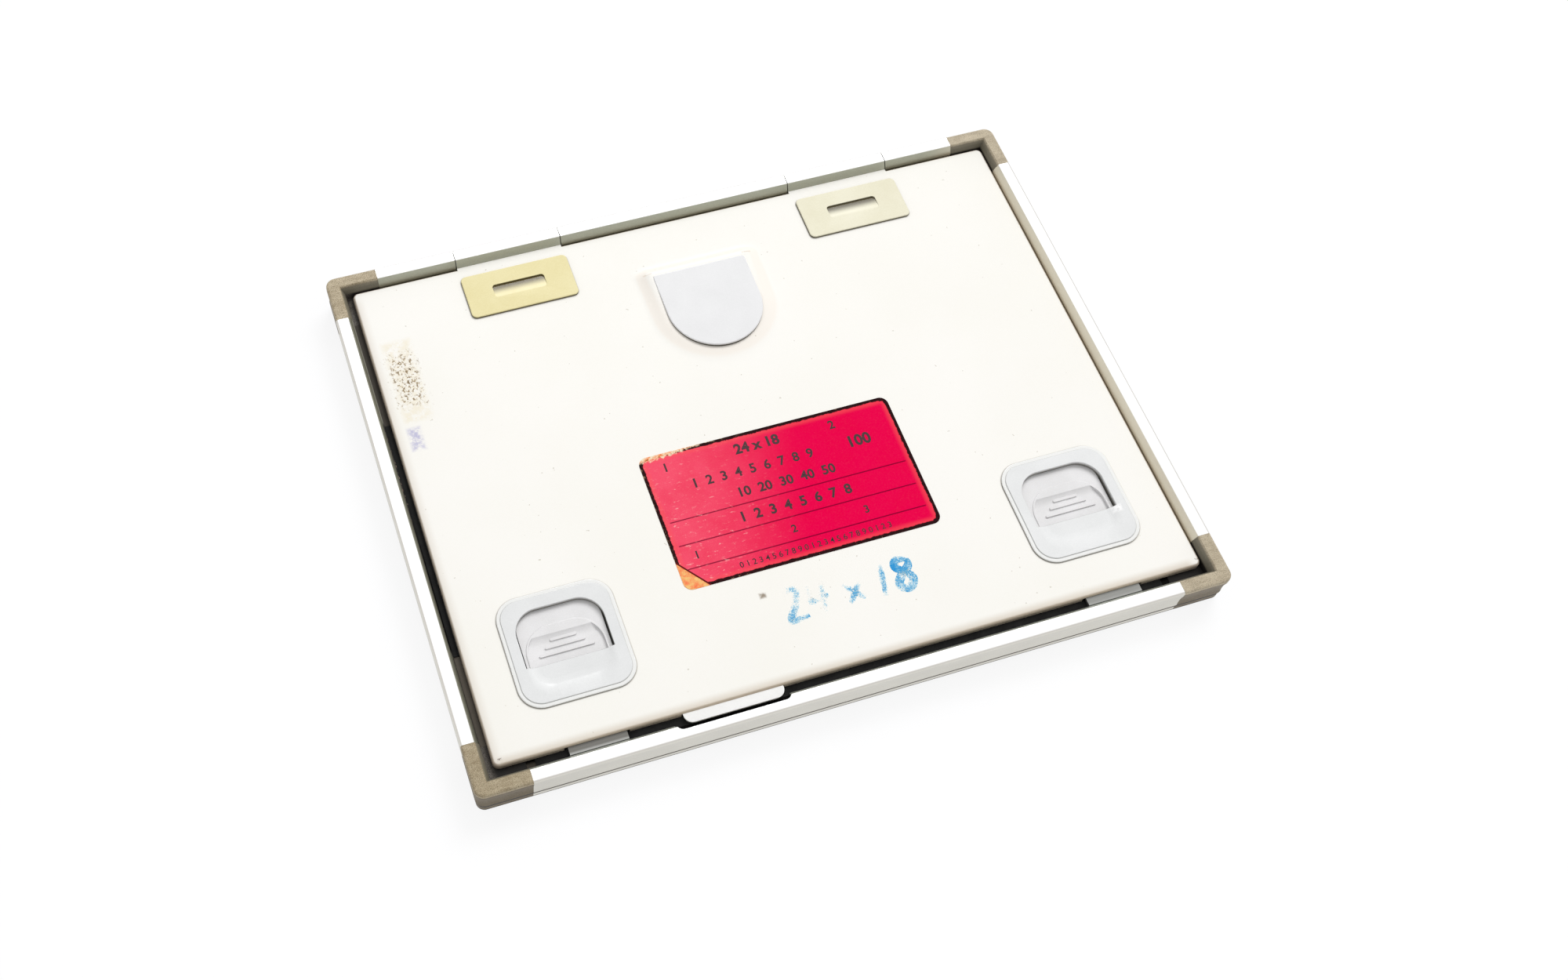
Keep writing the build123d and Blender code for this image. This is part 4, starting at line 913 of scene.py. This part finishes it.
# ------------------------------------------------------------- pieces from the CAD solids
for side in ("near", "far", "left", "right"):
    metal = rail_x if side in ("near", "far") else rail_y
    dressed(f"rail_{side}", metal)
    dressed(f"front_rail_{side}", metal)
    dressed(f"light_seal_{side}", seal_felt)
for place in ("far_right", "far_left", "near_right", "near_left"):
    dressed(f"corner_{place}", corner_plastic)
    dressed(f"front_corner_{place}", corner_plastic)
for side, cover in zip(SIDES, (cover_left, cover_right)):
    dressed(f"hinge_knuckle_{side}", rail_x)
    dressed(f"hinge_pin_{side}", bright_steel)
    dressed(f"hinge_cover_{side}", cover)
    dressed(f"thumb_slide_{side}", slide_plastic)
    dressed(f"bolt_{side}", bolt_steel)
    dressed(f"latch_housing_{side}", housing_plastic)
    # the coils ride on no body, and keep their place in the world
    coils = dressed(f"latch_springs_{side}", bright_steel, 50.0)
    coils.parent = None
    del coils["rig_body"]
    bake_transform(coils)
fittings = (
    ("centre_cap", cap_plastic, "latch_plastic"),
    ("lifting_tab", tab_white, "plain_aluminium"),
    ("corner_screws", bright_steel, "bright_steel"),
    ("hinge_rivets", plain_aluminium, "plain_aluminium"),
    ("centre_stud", bright_steel, "bright_steel"),
    ("stud_spacer", plain_aluminium, "plain_aluminium"),
    ("plate_standoffs", plain_aluminium, "plain_aluminium"),
    ("plate_screws", bright_steel, "bright_steel"),
    ("pressure_plate", plain_aluminium, "plain_aluminium"),
    ("front_panel", front_sheet, "front_sheet"),
    ("well_liner", liner_plastic, "liner_plastic"),
    ("front_screen", screen_coating, "screen_coating"),
    ("rear_screen", screen_coating, "screen_coating"),
    ("lead_sheet", lead_grey, "lead"),
    ("label", label_stock, "label_paper"),
)
for node, finish, slot in fittings:
    dressed(node, finish)


# ----------------------------------------------------------------- print and crayon marks
def solid_of(curve):
    """The solid a curve or text makes."""
    passing = bpy.data.objects.new("passing", curve)
    bpy.context.scene.collection.objects.link(passing)
    final = passing.evaluated_get(bpy.context.evaluated_depsgraph_get())
    mesh = bpy.data.meshes.new_from_object(final)
    bpy.data.objects.remove(passing)
    bm = bmesh.new()
    bm.from_mesh(mesh)
    bpy.data.meshes.remove(mesh)
    bmesh.ops.remove_doubles(bm, verts=bm.verts[:], dist=0.0005)
    return bm


def flat_letters(words, size, x, y, height, weight=0.0):
    """Generic numerals as a thin solid, in millimetres, with the middle of the text at x, y."""
    curve = bpy.data.curves.new("numerals", "FONT")
    curve.body = words
    curve.size = size
    curve.extrude = 0.01
    curve.offset = weight
    curve.align_x, curve.align_y = "CENTER", "CENTER"
    curve.resolution_u = 3
    bm = solid_of(curve)
    bmesh.ops.translate(bm, vec=(x, y, height), verts=bm.verts[:])
    return bm


def joined(parts):
    """Several solids as one, left as they are."""
    whole = bmesh.new()
    for part in parts:
        mesh = bpy.data.meshes.new("passing")
        part.to_mesh(mesh)
        part.free()
        whole.from_mesh(mesh)
        bpy.data.meshes.remove(mesh)
    return whole


# numbered fields on the label: digits, their size, the middle's x and y, and their weight
label_rows = (
    ("1", 4.6, -37.5, -5.6, 0.10),
    ("24 x 18", 5.4, -4.0, -5.6, 0.20),
    ("2", 4.6, 24.0, -5.6, 0.10),
    ("1  2  3  4  5  6  7  8  9", 5.0, -8.5, -14.2, 0.12),
    ("100", 6.0, 31.0, -14.0, 0.20),
    ("10  20  30  40  50", 5.0, 1.0, -22.0, 0.14),
    ("1  2  3  4  5  6  7  8", 5.2, 1.0, -31.2, 0.16),
    ("1", 4.0, -38.0, -40.4, 0.08),
    ("2", 4.0, -3.0, -40.4, 0.08),
    ("3", 4.0, 23.5, -40.4, 0.08),
    ("0 1 2 3 4 5 6 7 8 9 0 1 2 3 4 5 6 7 8 9 0 1 2 3", 3.0, 2.0, -48.2, 0.03),
)
print_height = 11.96
rows = [
    flat_letters(digits, size, x, y, print_height, weight)
    for digits, size, x, y, weight in label_rows
]
finish_piece("label_print", joined(rows), label_ink, "lid", (), 30.0)


stroke_width = 3.1
stroke_flat = 0.02
stroke_base = 11.805
# each stroke lies a little over the last one, and over its own start
stroke_lift = 0.003
stroke_climb = 0.12


def stroke(points, lift):
    """A crayon stroke: a round ribbon along the points, pressed flat on the lid."""
    curve = bpy.data.curves.new("stroke", "CURVE")
    curve.dimensions = "3D"
    curve.bevel_depth = stroke_width / 2
    curve.bevel_resolution = 3
    curve.resolution_u = 6
    curve.use_fill_caps = True
    line = curve.splines.new("NURBS")
    line.points.add(len(points) - 1)
    for order, (x, y) in enumerate(points):
        line.points[order].co = (x, y, stroke_climb * order, 1.0)
    line.points[0].radius = line.points[-1].radius = 0.5
    line.order_u = 3
    line.use_endpoint_u = True
    bm = solid_of(curve)
    bmesh.ops.scale(bm, vec=(1, 1, stroke_flat), verts=bm.verts[:])
    bmesh.ops.translate(bm, vec=(0, 0, stroke_base + lift), verts=bm.verts[:])
    return bm


# the film size in centimetres, long side first, in blue crayon
crayon_strokes = (
    (
        (-16.5, -63.0), (-13.5, -60.6), (-10.5, -62.4), (-12.0, -66.5),
        (-16.5, -72.2), (-15.0, -72.6), (-9.5, -72.0),
    ),
    ((-6.6, -61.4), (-7.8, -66.8), (-7.4, -67.6), (-3.0, -67.0), (-0.8, -66.6)),
    ((-1.8, -61.6), (-2.6, -66.0), (-3.8, -72.4)),
    ((5.0, -64.8), (8.0, -68.6), (10.8, -71.2)),
    ((10.6, -65.2), (7.8, -68.8), (5.2, -71.8)),
    ((19.6, -61.4), (18.8, -66.0), (17.6, -72.6)),
    (
        (29.6, -62.6), (26.4, -60.4), (23.6, -63.2), (26.6, -66.0), (29.6, -69.0),
        (26.4, -72.8), (22.8, -70.6), (25.4, -66.8), (29.8, -64.0), (29.2, -61.8),
    ),
)
strokes = [stroke(points, stroke_lift * order) for order, points in enumerate(crayon_strokes)]
finish_piece("size_numerals", joined(strokes), blue_crayon, "lid", (), 60.0)

# ----------------------------------------------------------------------------- foam sheet
foam_low, foam_high = (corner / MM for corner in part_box("foam_pad"))
foam_edge = 1.1
foam_bands = 11
# how far the sides are drawn in halfway between the corners, as shares of the half sizes
drawn_x, drawn_y = 0.008, 0.010


def foam_sheet():
    """Flat where the lead and the screen press it, with soft edges drawn in between the corners."""
    width, length = foam_high.x - foam_low.x, foam_high.y - foam_low.y
    pad = slab(width, length, 4.0, foam_low.z, foam_high.z, (0, 0), foam_edge, 6, 4)
    soften(pad, level_edges(pad, foam_low.z), foam_edge, 4)
    for facing, span in ((Vector((1, 0, 0)), width), (Vector((0, 1, 0)), length)):
        for step in range(-(foam_bands // 2), foam_bands // 2 + 1):
            bmesh.ops.bisect_plane(
                pad, geom=pad.verts[:] + pad.edges[:] + pad.faces[:], dist=1e-4,
                plane_co=facing * (step * span / foam_bands), plane_no=facing,
            )
    for vert in pad.verts:
        across, along = vert.co.x / foam_high.x, vert.co.y / foam_high.y
        vert.co.x *= 1 - drawn_x * (1 - along ** 2)
        vert.co.y *= 1 - drawn_y * (1 - across ** 2)
    return pad


foam = finish_piece(
    "foam_pad_shown", foam_sheet(), foam_grey, node_bodies["foam_pad"], ("foam_pad",), 60.0
)


# ------------------------------------------------------------------------------- studio
room_light, room_seen = 0.55, 1.0
# the floor as it lights the object, as it is seen, and the glow it is seen with
floor_lit, floor_shown, floor_glow = (0.9, 0.9, 0.9, 1), (0.14, 0.14, 0.145, 1), 0.87


def light_room():
    """A pale room: white to the eye and in reflections, softer as light on the object."""
    world = bpy.data.worlds.new("studio")
    bpy.context.scene.world = world
    world.use_nodes = True
    tree = world.node_tree
    background = tree.nodes["Background"]
    path = tree.nodes.new("ShaderNodeLightPath")
    seen = path.outputs["Is Camera Ray"]
    for name in ("Is Glossy Ray", "Is Transmission Ray"):
        either = tree.nodes.new("ShaderNodeMath")
        either.operation = "MAXIMUM"
        tree.links.new(seen, either.inputs[0])
        tree.links.new(path.outputs[name], either.inputs[1])
        seen = either.outputs[0]
    level = tree.nodes.new("ShaderNodeMapRange")
    level.inputs["To Min"].default_value = room_light
    level.inputs["To Max"].default_value = room_seen
    tree.links.new(seen, level.inputs["Value"])
    background.inputs["Color"].default_value = (1, 1, 1, 1)
    tree.links.new(level.outputs[0], background.inputs["Strength"])


def soft_light(name, place, size, power, glossy=True, diffuse=True):
    """A square lamp aimed at the object."""
    lamp = bpy.data.lights.new(name, "AREA")
    lamp.shape = "RECTANGLE"
    lamp.size = lamp.size_y = size
    lamp.energy = power
    made = bpy.data.objects.new(name, lamp)
    made.location = place
    made.rotation_euler = (-Vector(place)).to_track_quat("-Z", "Y").to_euler()
    made.visible_glossy = glossy
    made.visible_diffuse = diffuse
    bpy.context.scene.collection.objects.link(made)


def pale_floor():
    """A floor that the camera and reflections see as near white, and that keeps the shadow."""
    bm = bmesh.new()
    bmesh.ops.create_grid(bm, x_segments=1, y_segments=1, size=3.0)
    mesh = bpy.data.meshes.new("floor")
    bm.to_mesh(mesh)
    bm.free()
    floor = bpy.data.objects.new("floor", mesh)
    bpy.context.scene.collection.objects.link(floor)
    paper = Finish("floor_paper", Roughness=0.9, Specular_IOR_Level=0.0)
    paper.shader.inputs["Emission Color"].default_value = (1, 1, 1, 1)
    path = paper.node("LightPath")
    camera = Value(paper, path.socket.node.outputs["Is Camera Ray"])
    glossy = Value(paper, path.socket.node.outputs["Is Glossy Ray"])
    seen = camera.most(glossy)
    paper.feed("Base Color", paper.mix(seen, floor_lit, floor_shown))
    paper.feed("Emission Strength", seen * floor_glow)
    mesh.materials.append(paper.material)


light_room()
soft_light("key", (2.6, 2.6, 4.8), 3.0, 215.0, glossy=False)
soft_light("glint", (0.9, 3.2, 2.4), 0.6, 60.0, diffuse=False)
pale_floor()

# ------------------------------------------------------------------------------- camera
lens = bpy.data.cameras.new("camera")
lens.sensor_width = 36.0
lens.lens = 41.365
lens.shift_x = 0.1095
lens.shift_y = -0.032
lens.clip_start = 0.01
camera = bpy.data.objects.new("camera", lens)
camera.location = (-0.16979, -0.2857, 0.55053)
camera.rotation_euler = tuple(math.radians(a) for a in (30.54, -2.35, -17.771))
bpy.context.scene.collection.objects.link(camera)
bpy.context.scene.camera = camera
bpy.context.scene.view_settings.view_transform = "Standard"
